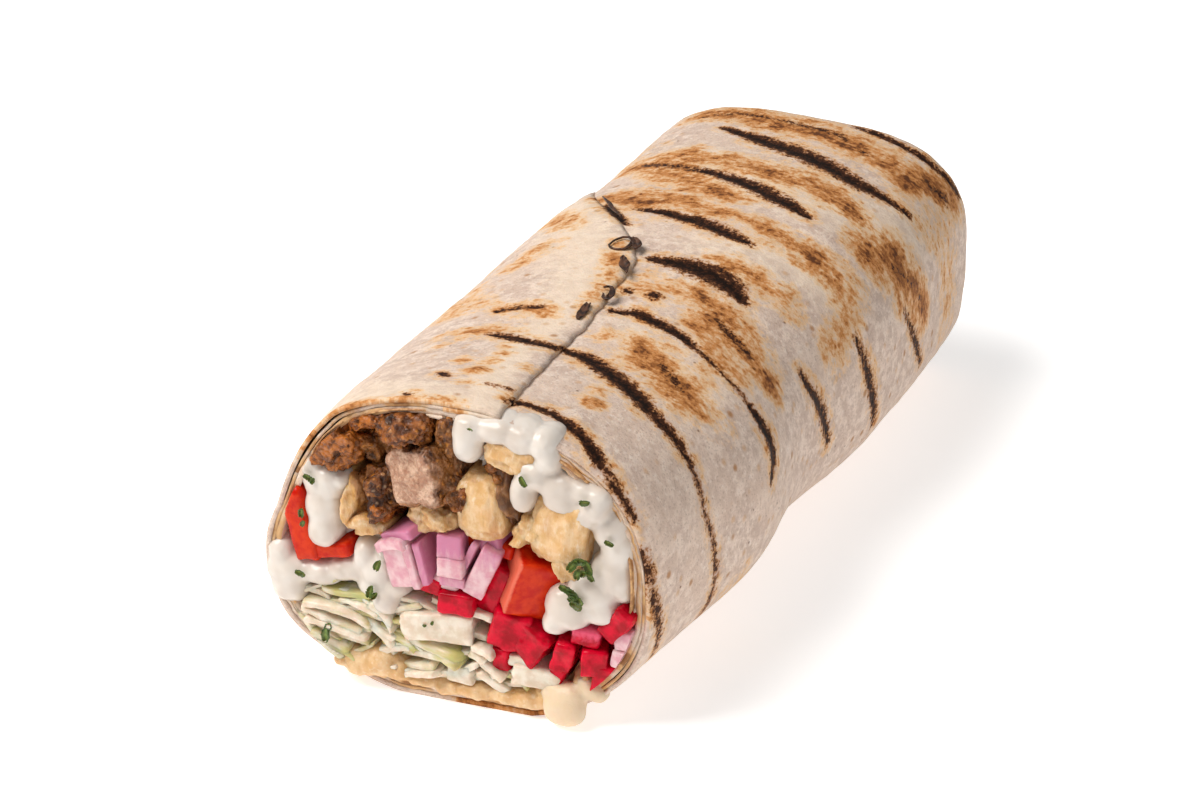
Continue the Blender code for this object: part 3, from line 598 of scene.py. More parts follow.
def bread_look(name, marked=True, warmth=0.0):
    made, tree, principled = shader(name)
    where = coordinates(tree)
    grain = speckle(tree, where, 0.5 * MM, 2)
    fine = speckle(tree, where, 1.2 * MM, 4, 0.6)
    medium = speckle(tree, where, 3.4 * MM, 4, 0.6)
    broad = speckle(tree, where, 16 * MM, 3)
    wandering = sums(tree, "ADD", medium, swing(tree, fine, 0.5))
    colour = mixed(tree, rising(tree, wandering, 0.36, 0.66), (0.58, 0.435, 0.355), (0.76, 0.61, 0.51))
    colour = over(tree, colour, (0.70, 0.535, 0.43), broad, 0.42, 0.6, 0.5)
    colour = over(tree, colour, (0.86, 0.77, 0.69), fine, 0.54, 0.7, 0.36)
    colour = over(tree, colour, (0.38, 0.26, 0.20), grain, 0.46, 0.3, 0.5)
    cream = sums(tree, "ADD", value_of(tree, "cream") if marked else warmth, swing(tree, medium, 0.9))
    colour = over(tree, colour, (0.84, 0.68, 0.52), cream, 0.0, 0.8, 0.6)
    pale_spots = spots(tree, where, 3.6 * MM, 0.45, 0.20, 0.14)
    colour = mixed(tree, sums(tree, "MULTIPLY", pale_spots, 0.55), colour, (0.58, 0.33, 0.16))
    ring_spots = spots(tree, where, 6.5 * MM, 0.4, 0.13, 0.07)
    colour = mixed(tree, sums(tree, "MULTIPLY", ring_spots, 0.8), colour, (0.40, 0.18, 0.06))
    dots = spots(tree, where, 3.1 * MM, 0.16, 0.10, 0.05)
    colour = mixed(tree, sums(tree, "MULTIPLY", dots, 0.8), colour, (0.14, 0.06, 0.03))
    height = plus(tree, medium, fine, 0.6)
    height = plus(tree, height, grain, 0.3)
    height = plus(tree, height, pale_spots, 0.3)
    if marked:
        brushed = speckle(tree, stretched(tree, map_of(tree), (20, 34, 1)), 1, 7, 0.78)
        field = value_of(tree, "toast")
        specks = spots(tree, where, 1.9 * MM, 0.5, 0.30, 0.2)
        uneven = sums(tree, "ADD", swing(tree, brushed, 2.6), swing(tree, fine, 1.2))
        uneven = plus(tree, uneven, specks, 0.22)
        uneven = sums(tree, "ADD", uneven, swing(tree, speckle(tree, where, 7 * MM, 2), 1.2))
        uneven = sums(tree, "MULTIPLY", uneven, rising(tree, field, 0.0, 0.25))
        toast = sums(tree, "ADD", sums(tree, "MULTIPLY", field, 1.05), uneven)
        colour = over(tree, colour, (0.78, 0.49, 0.24), toast, 0.08, 0.62, 0.7)
        colour = over(tree, colour, (0.55, 0.22, 0.06), toast, 0.48, 0.92, 0.9)
        colour = over(tree, colour, (0.29, 0.10, 0.028), toast, 0.88, 1.2, 0.9)
        colour = over(tree, colour, (0.085, 0.032, 0.016), toast, 1.15, 1.4, 0.85)
        char = value_of(tree, "char")
        burnt = sums(tree, "ADD", char, sums(tree, "ADD", swing(tree, fine, 1.3), swing(tree, grain, 0.9)))
        burnt = sums(tree, "ADD", burnt, swing(tree, brushed, 0.8))
        burnt = sums(tree, "MULTIPLY", burnt, rising(tree, char, 0.0, 0.14))
        colour = over(tree, colour, (0.36, 0.135, 0.038), burnt, 0.05, 0.42, 0.9)
        colour = over(tree, colour, (0.045, 0.015, 0.008), burnt, 0.34, 0.56, 0.96)
        colour = over(tree, colour, (0.012, 0.006, 0.004), burnt, 0.6, 0.95)
        shine = rising(tree, burnt, 0.3, 0.6, -0.2)
        put(tree, principled.inputs["Roughness"], sums(tree, "ADD", shine, 0.68))
        height = sums(tree, "ADD", height, sums(tree, "MULTIPLY", rising(tree, burnt, 0.35, 0.6), -0.7))
    else:
        principled.inputs["Roughness"].default_value = 0.62
    put(tree, principled.inputs["Base Color"], colour)
    surface(principled, shine=0.08, soft=0.1, glow=(1.0, 0.6, 0.35), reach=0.8)
    relief(tree, principled, height, 0.5, 0.5 * MM)
    return made


def map_of(tree):
    made = tree.nodes.new("ShaderNodeUVMap")
    made.uv_map = "sheet"
    return made.outputs["UV"]


outer_sheet = bread_sheet()
outer_sheet.data.materials.append(bread_look("grilled flatbread"))
shown(outer_sheet, "tortilla")

# The bread's inner turns: the same sheet goes on round inside, so its cut edges show as thin lines at the
# rim. They are floury and unmarked, with a browned edge here and there.
# Name, depth, thickness, first and last angle, unevenness of the edge and seed.
INNER_TURNS = [
    ("bread_second_turn", 1.2, 0.7, -200, 160, 0.5, 3),
    ("bread_third_turn", 2.0, 1.3, -120, 238, 0.7, 5),
    ("bread_fourth_turn", 3.4, 0.7, -8, 128, 0.9, 8),
]


def inner_turn(name, depth, thickness, first, last, wobble, seed):
    rows, columns = 16, 190
    bm = bmesh.new()
    bmesh.ops.create_grid(bm, x_segments=columns, y_segments=rows, size=1)
    brown = []
    for vertex in bm.verts:
        angle = first + (vertex.co.x + 1) / 2 * (last - first)
        share = (vertex.co.y + 1) / 2
        ripple = noise.noise(Vector((angle / 9, seed, 0)))
        start = (0.25 + wobble * ripple + 0.3 * noise.noise(Vector((angle / 2.5, seed, 4)))) * MM
        y = start + share * share * 24 * MM
        sunk = depth + 0.12 * noise.noise(Vector((angle / 14, y * 200, seed)))
        x, z = skin(angle, max(y, 0), sunk * MM + tuck(angle, y) + under_flap(angle, max(y, 0)))
        slanted = CUT_SLANT * float(x) * (1 - y / LENGTH) ** 2
        vertex.co = Vector((float(x), y + slanted, float(z))) + FROM_CUT
        edge = 1 - min(share * 7, 1)
        brown.append(edge * max(0, 0.45 + 1.1 * noise.noise(Vector((angle / 11, seed + 2, 9)))))
    faced_outward(bm, (0, -0.09, 0.034))
    mesh = mesh_of(name, bm)
    set_values(mesh, "brown", brown)
    return walled(name, mesh, thickness * MM)


def inner_look(name):
    made = bread_look(name, marked=False, warmth=0.45)
    tree = made.node_tree
    principled = tree.nodes["Principled BSDF"]
    colour = principled.inputs["Base Color"].links[0].from_socket
    fine = speckle(tree, coordinates(tree), 1.4 * MM, 3)
    brown = sums(tree, "ADD", value_of(tree, "brown"), swing(tree, fine, 0.6))
    colour = over(tree, colour, (0.62, 0.34, 0.12), brown, 0.2, 0.6, 0.8)
    colour = over(tree, colour, (0.24, 0.10, 0.04), brown, 0.7, 1.0, 0.8)
    put(tree, principled.inputs["Base Color"], colour)
    return made


inside_look = inner_look("floury flatbread")
for settings in INNER_TURNS:
    turn_piece = inner_turn(*settings)
    turn_piece.data.materials.append(inside_look)
    shown(turn_piece, "tortilla")

# Burnt crumbs of bread: where the flap's thin edge curled up it charred, and at the cut a few lips of the
# inner turns stick out, toasted brown. Each is a small bent strip lying on the bread.
BURNT_CURLS = [
    (0.9, 0.5, [(97, 91.6), (96.9, 94), (95.8, 96), (94.4, 96.6), (93, 95.4), (92.4, 92.8), (92.8, 90.8),
                (94.6, 90), (96.4, 90.4), (97, 91.6)]),
    (1.7, 0.9, [(93.4, 96.4), (92.2, 95), (91.2, 93), (90.8, 91)]),
    (1.4, 0.9, [(91.4, 86.6), (90.4, 84), (89.4, 81.4), (88.2, 79)]),
    (1.2, 0.5, [(89.8, 71), (88.8, 71.6), (88, 70.4), (87.4, 68), (87.6, 66), (88.6, 66.6), (89, 68)]),
    (1.0, 0.6, [(90, 63), (89.8, 60), (89.7, 57.6), (89.6, 55.6)]),
    (1.2, 0.3, [(117, 121.5), (112, 117), (107, 112), (102.4, 107.8)]),
]
LIPS = [
    (5.4, 44, 58, 1.3), (5.4, -12, 14, 1.3), (4.2, 76, 88, 1.2), (3.0, 98, 118, 0.8), (2.6, 128, 150, 0.7),
]
CRUMB_THICKNESS = 0.35 * MM


def bent_strip(rows, columns, place):
    """A thin strip: place gives the middle of a point for u along and v across it, both from 0 to 1."""
    bm = bmesh.new()
    bmesh.ops.create_grid(bm, x_segments=columns, y_segments=rows, size=1)
    for vertex in bm.verts:
        vertex.co = place((vertex.co.x + 1) / 2, vertex.co.y) + FROM_CUT
    bmesh.ops.recalc_face_normals(bm, faces=bm.faces)
    bmesh.ops.solidify(bm, geom=bm.faces[:], thickness=CRUMB_THICKNESS)
    bmesh.ops.recalc_face_normals(bm, faces=bm.faces)
    return bm


def burnt_curl(width, lift, line):
    """A charred bit of the flap's edge that runs along a line of angle and y, with its sides turned up."""
    steps = np.linspace(0, 1, len(line))

    def at(u):
        return np.array([np.interp(u, steps, part) for part in zip(*line)])

    def place(u, v):
        angle, y = at(u)
        later = min(u + 0.02, 1)
        run = at(later) - at(u)
        side = Vector((-run[1], run[0] * 0.7, 0)).normalized() if later > u else Vector((0, 1, 0))
        half = width * 0.4 * (0.25 + 0.75 * math.sin(math.pi * min(max(u, 0.04), 0.96))) * v
        half *= 1 + 0.35 * noise.noise(Vector((u * 6, v, width)))
        raised = (0.2 + 0.7 * lift * (v * v + 0.4 * math.sin(u * 7))) * MM
        x, z = skin(angle + side.x * half * 1.4, (y + side.y * half) * MM, -raised)
        slanted = CUT_SLANT * float(x) * (1 - y * MM / LENGTH) ** 2
        return Vector((float(x), (y + side.y * half) * MM + slanted, float(z)))
    return bent_strip(3, 22, place)


def lip(depth, first, last, reach):
    """A thin edge of an inner turn that sticks out of the cut between two angles."""
    def place(u, v):
        angle = first + u * (last - first)
        out = reach * math.sin(math.pi * u) * (0.8 + 0.4 * noise.noise(Vector((u * 4, depth, 0))))
        y = (2.5 * (1 + v) / 2 - out * (1 - v) / 2) * MM
        x, z = skin(angle, max(y, 0), (depth - 0.5 * out * (1 - v) / 2) * MM)
        return Vector((float(x), y + CUT_SLANT * float(x), float(z)))
    return bent_strip(6, 26, place)


def browned_look(name, first, second):
    made, tree, principled = shader(name)
    where = coordinates(tree)
    colour = mixed(tree, rising(tree, speckle(tree, where, 1.3 * MM, 4), 0.38, 0.62), first, second)
    put(tree, principled.inputs["Base Color"], colour)
    principled.inputs["Roughness"].default_value = 0.5
    relief(tree, principled, speckle(tree, where, 0.7 * MM, 3), 0.6, 0.4 * MM)
    return made


def joined(pieces, layers=()):
    """All the pieces in one bmesh."""
    whole = bmesh.new()
    for layer in layers:
        whole.verts.layers.float.new(layer)
    for piece in pieces:
        mesh = mesh_of("piece", piece)
        whole.from_mesh(mesh)
        bpy.data.meshes.remove(mesh)
    return whole


def crumbs(name, pieces, look):
    whole = joined(pieces)
    kept_in(whole, *size_before)
    mesh = mesh_of(name, whole)
    mesh.materials.append(look)
    shown(bpy.data.objects.new(name, mesh), "tortilla")


charred = browned_look("charred bread", (0.024, 0.010, 0.006), (0.11, 0.045, 0.022))
crumbs("burnt_flap_curls", [burnt_curl(*curl) for curl in BURNT_CURLS], charred)
toasted = browned_look("toasted bread", (0.38, 0.17, 0.06), (0.66, 0.38, 0.16))
crumbs("toasted_lips", [lip(*one) for one in LIPS], toasted)

# Grilled meat: torn lumps of beef and lamb, roasted dark and glossy with fat, and one cube cut through so
# that its pale pink inside shows. The lumps fill the top left of the roll.
SHARP_FROM = 50
KNIFE_CUTS = 14
UNEVENNESS_SEED = 4
WALL_ENDS_AT = 20 * MM
noise.seed_set(UNEVENNESS_SEED)


def signed_power(value, power):
    return math.copysign(abs(value) ** power, value)


def set_down(bm, x, z, turn, proud, depth, tip=0, yaw=0):
    """Sets a piece with its middle at x, z of the cut face, in millimetres, reaching proud of the cut."""
    place = Vector((x * MM, CUT_SLANT * x * MM + (depth / 2 - proud) * MM, z * MM)) + FROM_CUT
    turned = Matrix.Rotation(math.radians(-turn), 4, "Y") @ Matrix.Rotation(math.radians(tip), 4, "X")
    turned = turned @ Matrix.Rotation(math.radians(yaw), 4, "Z")
    bmesh.ops.transform(bm, matrix=Matrix.Translation(place) @ turned, verts=bm.verts)
    return bm


def chunk(x, z, width, height, turn=0, proud=1.5, depth=14, square=0.8, lumpy=0.3, crag=0.5, crumb=2.2,
          grain=0.12, granules=0, fibre=(1, 1, 1), fine=5, seed=0, tone=None, tip=0):
    """A torn piece. lumpy is its broad unevenness; crag, grain and granules are roughness in millimetres."""
    bm = bmesh.new()
    bm.verts.layers.float.new("tone")
    bm.verts.layers.float.new("hollow")
    layer, sunk = bm.verts.layers.float["tone"], bm.verts.layers.float["hollow"]
    bmesh.ops.create_icosphere(bm, subdivisions=fine, radius=0.5)
    shift = Vector((seed * 3.1, x * 0.7, z * 0.9))
    size = Vector((width, depth, height)) * MM
    for vertex in bm.verts:
        ball = vertex.co * 2
        out = vertex.co * (1 + lumpy * noise.noise(vertex.co * 3.2 + shift))
        out = Vector(signed_power(value * 2, square) / 2 * part for value, part in zip(out, size))
        place = Vector(value * stretch for value, stretch in zip(out / (crumb * MM), fibre)) + shift
        hollow = noise.turbulence(place, 3, True)
        push = crag * (0.42 - hollow) + grain * noise.noise(place * 4.7)
        if granules:
            push += granules * (0.5 - noise.voronoi(out / (1.15 * MM) + shift)[0][0])
        vertex.co = out + ball * push * MM
        vertex[layer] = tone(ball, hollow) if tone else 0
        # The hollow value is also kept on the mesh: the meat and chicken looks use it to darken the recesses as
        # painted shade.
        vertex[sunk] = hollow
    return set_down(bm, x, z, turn, proud, depth, tip)


def core_of(name, behind):
    """The filling's own body, running back through the roll from a little behind its front pieces."""
    bm = bmesh.new()
    bm.from_mesh(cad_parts[name].data)
    bmesh.ops.remove_doubles(bm, verts=bm.verts, dist=0.01 * MM)
    plane = Vector((0, behind * MM, 0)) + FROM_CUT + Vector((0, CUT_SLANT * 2.937 * MM, 0))
    cut = bmesh.ops.bisect_plane(
        bm, geom=bm.verts[:] + bm.edges[:] + bm.faces[:], plane_co=plane, plane_no=(CUT_SLANT, -1, 0),
        clear_outer=True,
    )
    rim = [part for part in cut["geom_cut"] if isinstance(part, bmesh.types.BMEdge)]
    bmesh.ops.holes_fill(bm, edges=rim, sides=0)
    bmesh.ops.triangulate(bm, faces=[face for face in bm.faces if len(face.verts) > 4])
    bm.verts.layers.float.new("tone")
    return bm


def inside_wall(bm):
    """Keeps the front of a filling inside the bread."""
    x, y, z = (np.array([vertex.co for vertex in bm.verts]) - np.array(FROM_CUT)).T
    along = np.maximum(y - CUT_SLANT * x, 0)
    x = x - lean(x, along, z)
    across, up = x - SIDEWAYS[0], z - HALF_HEIGHT[0] + PRESSED_FLAT
    angle = np.arctan2(up / HALF_HEIGHT[0], across / HALF_WIDTH[0])
    wall = (0.5 + 0.5 * np.cos(angle - math.radians(WALL_THICK_AT))) ** 3
    wall = WALL_THIN + (WALL_THICK - WALL_THIN) * wall + 0.2 * MM
    wide = smooth_between(ALONG, HALF_WIDTH, along) - wall
    high = smooth_between(ALONG, HALF_HEIGHT, along) - wall
    reach = (np.abs(across) / wide) ** FULLNESS_FRONT + (np.abs(up) / high) ** FULLNESS_FRONT
    near = along < WALL_ENDS_AT
    kept = np.where((reach > 1) & near, np.maximum(reach, 1) ** (-1 / FULLNESS_FRONT), 1)
    x, z = across * kept + SIDEWAYS[0], up * kept + HALF_HEIGHT[0] - PRESSED_FLAT
    z = np.where(near, np.maximum(z, wall), z)
    x = x + lean(x, along, z)
    for vertex, place in zip(bm.verts, np.stack([x, y, z], 1)):
        vertex.co = Vector(place) + FROM_CUT
    return bm


def gathered(name, pieces, node, look, free=()):
    """One object from all the pieces, kept inside the bread, except for the free ones."""
    whole = joined([inside_wall(piece) for piece in pieces] + list(free), ("tone", "hollow"))
    kept_in(whole, *size_before)
    mesh = mesh_of(name, whole)
    mesh.set_sharp_from_angle(angle=math.radians(SHARP_FROM))
    mesh.materials.append(look)
    return shown(bpy.data.objects.new(name, mesh), node)


def meat_look():
    made, tree, principled = shader("roast meat")
    where = coordinates(tree)
    broad = speckle(tree, where, 6 * MM, 3)
    medium = speckle(tree, where, 2.2 * MM, 4, 0.6)
    fine = speckle(tree, where, 0.5 * MM, 3)
    distance, value, other = grains(tree, where, 1.1 * MM)
    wandering = sums(tree, "ADD", medium, swing(tree, value, 0.25))
    colour = mixed(tree, rising(tree, wandering, 0.34, 0.62), (0.040, 0.012, 0.005), (0.22, 0.075, 0.022))
    colour = over(tree, colour, (0.36, 0.14, 0.036), broad, 0.46, 0.62, 0.8)
    golden = sums(tree, "MULTIPLY", rising(tree, value, 0.66, 0.8), rising(tree, distance, 0.55, 0.2))
    colour = mixed(tree, sums(tree, "MULTIPLY", golden, 0.75), colour, (0.62, 0.24, 0.045))
    pale = sums(tree, "MULTIPLY", rising(tree, other, 0.82, 0.9), rising(tree, distance, 0.5, 0.2))
    colour = mixed(tree, sums(tree, "MULTIPLY", pale, 0.5), colour, (0.60, 0.38, 0.22))
    colour = over(tree, colour, (0.03, 0.012, 0.008), fine, 0.44, 0.32, 0.5)
    pink = mixed(tree, rising(tree, medium, 0.35, 0.65), (0.40, 0.20, 0.12), (0.70, 0.45, 0.31))
    pink = over(tree, pink, (0.32, 0.13, 0.075), fine, 0.5, 0.66, 0.5)
    crisp = mixed(tree, rising(tree, wandering, 0.36, 0.62), (0.15, 0.038, 0.005), (0.46, 0.135, 0.018))
    colour = mixed(tree, rising(tree, value_of(tree, "tone"), -0.05, -1.0, 0.85), colour, crisp)
    # Painted shade: the sunken hollows of the lumps are darkened nearly to black, standing in for the shade that
    # falls into the crevices.
    sunk = sums(tree, "ADD", value_of(tree, "hollow"), swing(tree, fine, 0.4))
    colour = over(tree, colour, (0.024, 0.009, 0.005), sunk, 0.56, 0.86, 0.8)
    sliced = sums(tree, "ADD", value_of(tree, "tone"), swing(tree, medium, 0.5))
    sliced = rising(tree, sliced, 0.3, 0.75)
    put(tree, principled.inputs["Base Color"], mixed(tree, sliced, colour, pink))
    gloss = rising(tree, speckle(tree, where, 3 * MM, 2), 0.4, 0.6, 0.25)
    gloss = plus(tree, gloss, sliced, 0.15)
    put(tree, principled.inputs["Roughness"], sums(tree, "ADD", gloss, 0.2))
    surface(principled, shine=0.36, soft=0.06, glow=(1.0, 0.3, 0.15), reach=1)
    height = plus(tree, medium, fine, 0.4)
    height = sums(tree, "SUBTRACT", height, sums(tree, "MULTIPLY", distance, 0.9))
    relief(tree, principled, height, 0.8, 0.7 * MM)
    return made


def fine_cube():
    bm = bmesh.new()
    bm.verts.layers.float.new("tone")
    bmesh.ops.create_cube(bm, size=1)
    bmesh.ops.subdivide_edges(bm, edges=bm.edges, cuts=KNIFE_CUTS, use_grid_fill=True)
    return bm, bm.verts.layers.float["tone"]


def rounded(ball, half, round_by):
    """Carries a point of a cube to a box with rounded edges."""
    box = Vector(value * part for value, part in zip(ball, half))
    kept = Vector(min(max(value, round_by - part), part - round_by) for value, part in zip(box, half))
    return kept + (box - kept).normalized() * round_by


def cut_block(x, z, width, height, turn=0, proud=1.5, depth=14, edge=0.9, uneven=0.25, tip=0, yaw=0,
              tone=None, bow=0):
    """A piece cut with a knife: flat faces and slightly rounded edges."""
    bm, layer = fine_cube()
    half = Vector((width, depth, height)) * MM / 2
    round_by = min(edge * MM, min(half) * 0.9)
    for vertex in bm.verts:
        ball = vertex.co * 2
        out = rounded(ball, half, round_by)
        shift = noise.noise_vector(out / (4 * MM) + Vector((x, z, turn))) * uneven
        shift += noise.noise_vector(out / (1.1 * MM) + Vector((z, x, turn))) * uneven * 0.25
        shift.z += bow * (0.25 - (ball.x / 2) ** 2) * 4
        vertex.co = out + shift * MM
        vertex[layer] = tone(ball) if tone else 0
    return set_down(bm, x, z, turn, proud, depth, tip, yaw)


def same(value):
    return lambda ball, hollow=0: value


gathered("roast_meat", [
    core_of("gyro_meat", 7),
    chunk(-23, 55.6, 14.5, 9.4, 47, 3.2, square=0.95, lumpy=0.5, crag=1.6, crumb=2.6, granules=0.9, seed=1,
          tone=same(-0.8)),
    chunk(-16.8, 63, 9.5, 5.6, 14, 1.6, lumpy=0.5, crag=1.3, crumb=2.6, granules=0.7, seed=2, tone=same(-1)),
    chunk(-8.0, 62.6, 12.6, 9.6, 10, 4.4, square=0.95, lumpy=0.3, crag=0.9, crumb=3, granules=1.2, seed=3,
          tone=same(-0.5)),
    chunk(0.9, 62.2, 5.4, 11.5, 0, 1.4, lumpy=0.4, crag=0.8, crumb=3, granules=0.4, seed=4, tone=same(-0.1)),
    cut_block(-3.8, 52.6, 13.4, 12.6, 14, 4.2, 14.5, edge=2.4, uneven=1.3, yaw=-14, tip=-8,
              tone=lambda ball: 1.0 - 0.55 * max(abs(ball.x), abs(ball.z)) ** 4 if ball.y < -0.75 else 0.36),
    chunk(-14, 46.2, 9, 12.6, 8, 2.6, lumpy=0.5, crag=1.4, crumb=2.8, granules=0.8, seed=6, tone=same(-0.2)),
    chunk(-13.5, 43.2, 4.5, 5, 0, 3.2, lumpy=0.4, crag=0.8, granules=0.7, fine=4, seed=12, tone=same(-1)),
    chunk(3.9, 49.6, 5, 6.6, -15, 3.4, lumpy=0.5, crag=1.0, crumb=2.6, granules=0.5, seed=7, tone=same(-0.5)),
    chunk(-16.8, 56.2, 7, 7, 0, -0.8, lumpy=0.5, crag=1.2, granules=0.5, seed=8),
    chunk(-11.4, 56, 6, 6, 0, -0.8, lumpy=0.5, crag=1.2, granules=0.5, seed=9),
    chunk(-7.5, 46.6, 6, 4.4, 0, 0.2, lumpy=0.5, crag=1.0, granules=0.5, fine=4, seed=10),
    chunk(10.6, 56.2, 5.5, 7, 30, 0.6, lumpy=0.5, crag=1.0, granules=0.4, fine=4, seed=11, tone=same(-0.4)),
], "gyro_meat", meat_look())

# Chicken: roasted breast in torn chunks, cream inside with fibres, browned where its outside shows. The
# larger part lies under the sauce on the right, a small part by the left edge of the meat.


def chicken_tone(side, low=0.2, high=0.7):
    """Browned towards this side, and a little golden along every edge."""
    side = Vector(side).normalized()

    def tone(ball, hollow):
        golden = 0.32 * float(share_in(np.array(math.hypot(ball.x, ball.z)), 0.82, 1.02))
        return max(golden, float(share_in(np.array(ball.dot(side) + 0.25 * (hollow - 0.5)), low, high)))
    return tone


def chicken_look():
    made, tree, principled = shader("roast chicken")
    where = coordinates(tree)
    broad = speckle(tree, where, 6 * MM, 3)
    medium = speckle(tree, where, 2.4 * MM, 4, 0.6)
    fibres = speckle(tree, stretched(tree, where, (1, 1, 0.3)), 1.1 * MM, 4, 0.6)
    colour = mixed(tree, rising(tree, medium, 0.35, 0.65), (0.67, 0.385, 0.145), (0.77, 0.525, 0.29))
    colour = over(tree, colour, (0.72, 0.39, 0.13), broad, 0.52, 0.66, 0.5)
    colour = over(tree, colour, (0.56, 0.28, 0.08), fibres, 0.46, 0.3, 0.45)
    colour = over(tree, colour, (0.86, 0.71, 0.53), fibres, 0.54, 0.68, 0.5)
    # Painted shade: the sunken hollows of the torn chunks are darkened to brown, standing in for the shade in
    # their recesses.
    colour = over(tree, colour, (0.50, 0.20, 0.05), value_of(tree, "hollow"), 0.5, 0.85, 0.65)
    brown = sums(tree, "ADD", value_of(tree, "tone"), swing(tree, medium, 0.8))
    colour = over(tree, colour, (0.66, 0.34, 0.09), brown, 0.18, 0.5, 0.8)
    colour = over(tree, colour, (0.36, 0.15, 0.045), brown, 0.45, 0.75, 0.9)
    colour = over(tree, colour, (0.10, 0.04, 0.018), brown, 0.75, 1.1, 0.9)
    put(tree, principled.inputs["Base Color"], colour)
    surface(principled, roughness=0.4, soft=0.2)
    relief(tree, principled, sums(tree, "ADD", sums(tree, "MULTIPLY", medium, 0.9), fibres), 0.65, 0.6 * MM)
    return made


chicken_colour = chicken_look()
plain = chicken_tone((0, 1, 0), 0.9, 1.1)
gathered("chicken_right", [
    core_of("chicken", 4),
    chunk(8.3, 47.4, 10.8, 14, 4, 2.8, square=0.5, lumpy=0.25, crag=1.1, granules=0.3, crumb=4,
          fibre=(1, 1, 0.3), seed=1, tone=chicken_tone((1, 0, 0.5), 0.75, 1.0)),
    chunk(13.6, 50.6, 4.2, 14, 14, 1.8, lumpy=0.4, crag=1, crumb=2.6, granules=0.4, seed=2,
          tone=chicken_tone((0, -1, 0), -0.6, 0.5)),
    chunk(14.4, 60.6, 13, 9, -8, 2, square=0.7, lumpy=0.25, crag=1.4, granules=0.4, crumb=3.4,
          fibre=(0.4, 1, 1), seed=3, tone=chicken_tone((0.4, 0, 1), 0.7, 1.1)),
    chunk(25.2, 44.8, 13.5, 17.5, -14, 2.4, square=0.6, lumpy=0.2, crag=1.1, granules=0.3, crumb=5,
          fibre=(1, 1, 0.25), seed=4, tone=plain),
    chunk(19.2, 44.2, 8, 8, 0, 1.6, lumpy=0.4, crag=1.0, granules=0.3, fine=4, seed=5,
          tone=chicken_tone((-1, 0, 0.2), 0.5, 1)),
    chunk(-2.9, 43, 11, 7.5, 0, 2.5, lumpy=0.4, crag=0.9, crumb=2.4, granules=0.7, seed=6,
          tone=chicken_tone((0.2, 0, -1), 0.7, 1.3)),
    chunk(26, 36.6, 6.2, 9, 22, 1.6, lumpy=0.4, crag=0.9, granules=0.3, fine=4, seed=7,
          tone=chicken_tone((-0.6, 0, -1), 0.1, 1.2)),
    chunk(16.6, 42.2, 4.4, 6, -20, 1.8, lumpy=0.4, crag=0.9, granules=0.3, fine=4, seed=9,
          tone=chicken_tone((-1, 0, -1), 0.1, 1)),
], "chicken", chicken_colour)
gathered("chicken_by_the_meat", [
    core_of("chicken_left", 4),
    chunk(-20.3, 43.2, 5.4, 14.5, -6, 1.5, lumpy=0.4, crag=1, crumb=3, granules=0.3, seed=1,
          tone=chicken_tone((0.8, 0, 0.8), -0.2, 0.9)),
    chunk(-17.4, 38.6, 9, 5.5, 0, 1.5, lumpy=0.4, crag=0.9, fine=4, seed=2,
          tone=chicken_tone((0.5, 0, 0.8), 0.3, 1)),
], "chicken_left", chicken_colour)

# Tomato: ripe tomato cut with a knife, wet and orange red. One large cube lies right of the middle, with
# a paler watery flank, and the end of a slice shows at the left edge.


def wet_look(name, first, second, toned, roughness, soft, lines=(1, 1, 1), size=2.5, shine=0.32):
    """The look of moist cut salad: two shades in soft noise, a third where its tone is 1, thin lines."""
    made, tree, principled = shader(name)
    where = coordinates(tree)
    medium = speckle(tree, where, size * MM, 4, 0.55)
    fine = speckle(tree, stretched(tree, where, lines), 0.8 * MM, 2)
    colour = mixed(tree, rising(tree, medium, 0.35, 0.65), first, second)
    toned_by = rising(tree, sums(tree, "ADD", value_of(tree, "tone"), swing(tree, fine, 0.7)), 0.15, 0.85)
    colour = mixed(tree, toned_by, colour, toned)
    put(tree, principled.inputs["Base Color"], colour)
    surface(principled, shine, roughness, soft, glow=(1.0, 0.4, 0.3))
    relief(tree, principled, plus(tree, medium, fine, 0.5), 0.3, 0.4 * MM)
    return made


tomato_colour = wet_look(
    "cut tomato", (0.50, 0.009, 0.002), (0.64, 0.036, 0.004), (0.70, 0.14, 0.08), 0.22, 0.06, shine=0.16,
)
gathered("tomato_right", [
    core_of("tomato", 3),
    cut_block(17.6, 30.5, 13.2, 13.2, -20, 0.6, 12.5, edge=0.5, uneven=0.2, yaw=36,
              tone=lambda ball: 0.9 if ball.x < -0.9 else 0.0),
    cut_block(8.5, 37.8, 12, 3.5, -8, -1.0, edge=0.8),
], "tomato", tomato_colour)
gathered("tomato_left_edge", [
    core_of("tomato_left", 3),
    cut_block(-32, 36, 5.5, 17, 14, 1, edge=1.2, bow=0.5),
    cut_block(-26.5, 31, 12, 3.5, 14, 0.8, edge=0.9),
], "tomato_left", tomato_colour)

# Red onion: raw, diced, in short bent slabs of two or three skins, white lilac with purple outer sides.
# Six or seven dice lie in the middle and two small ones at the right rim.


def from_top(low, high):
    return lambda ball: float(share_in(np.array(ball.z), low, high))


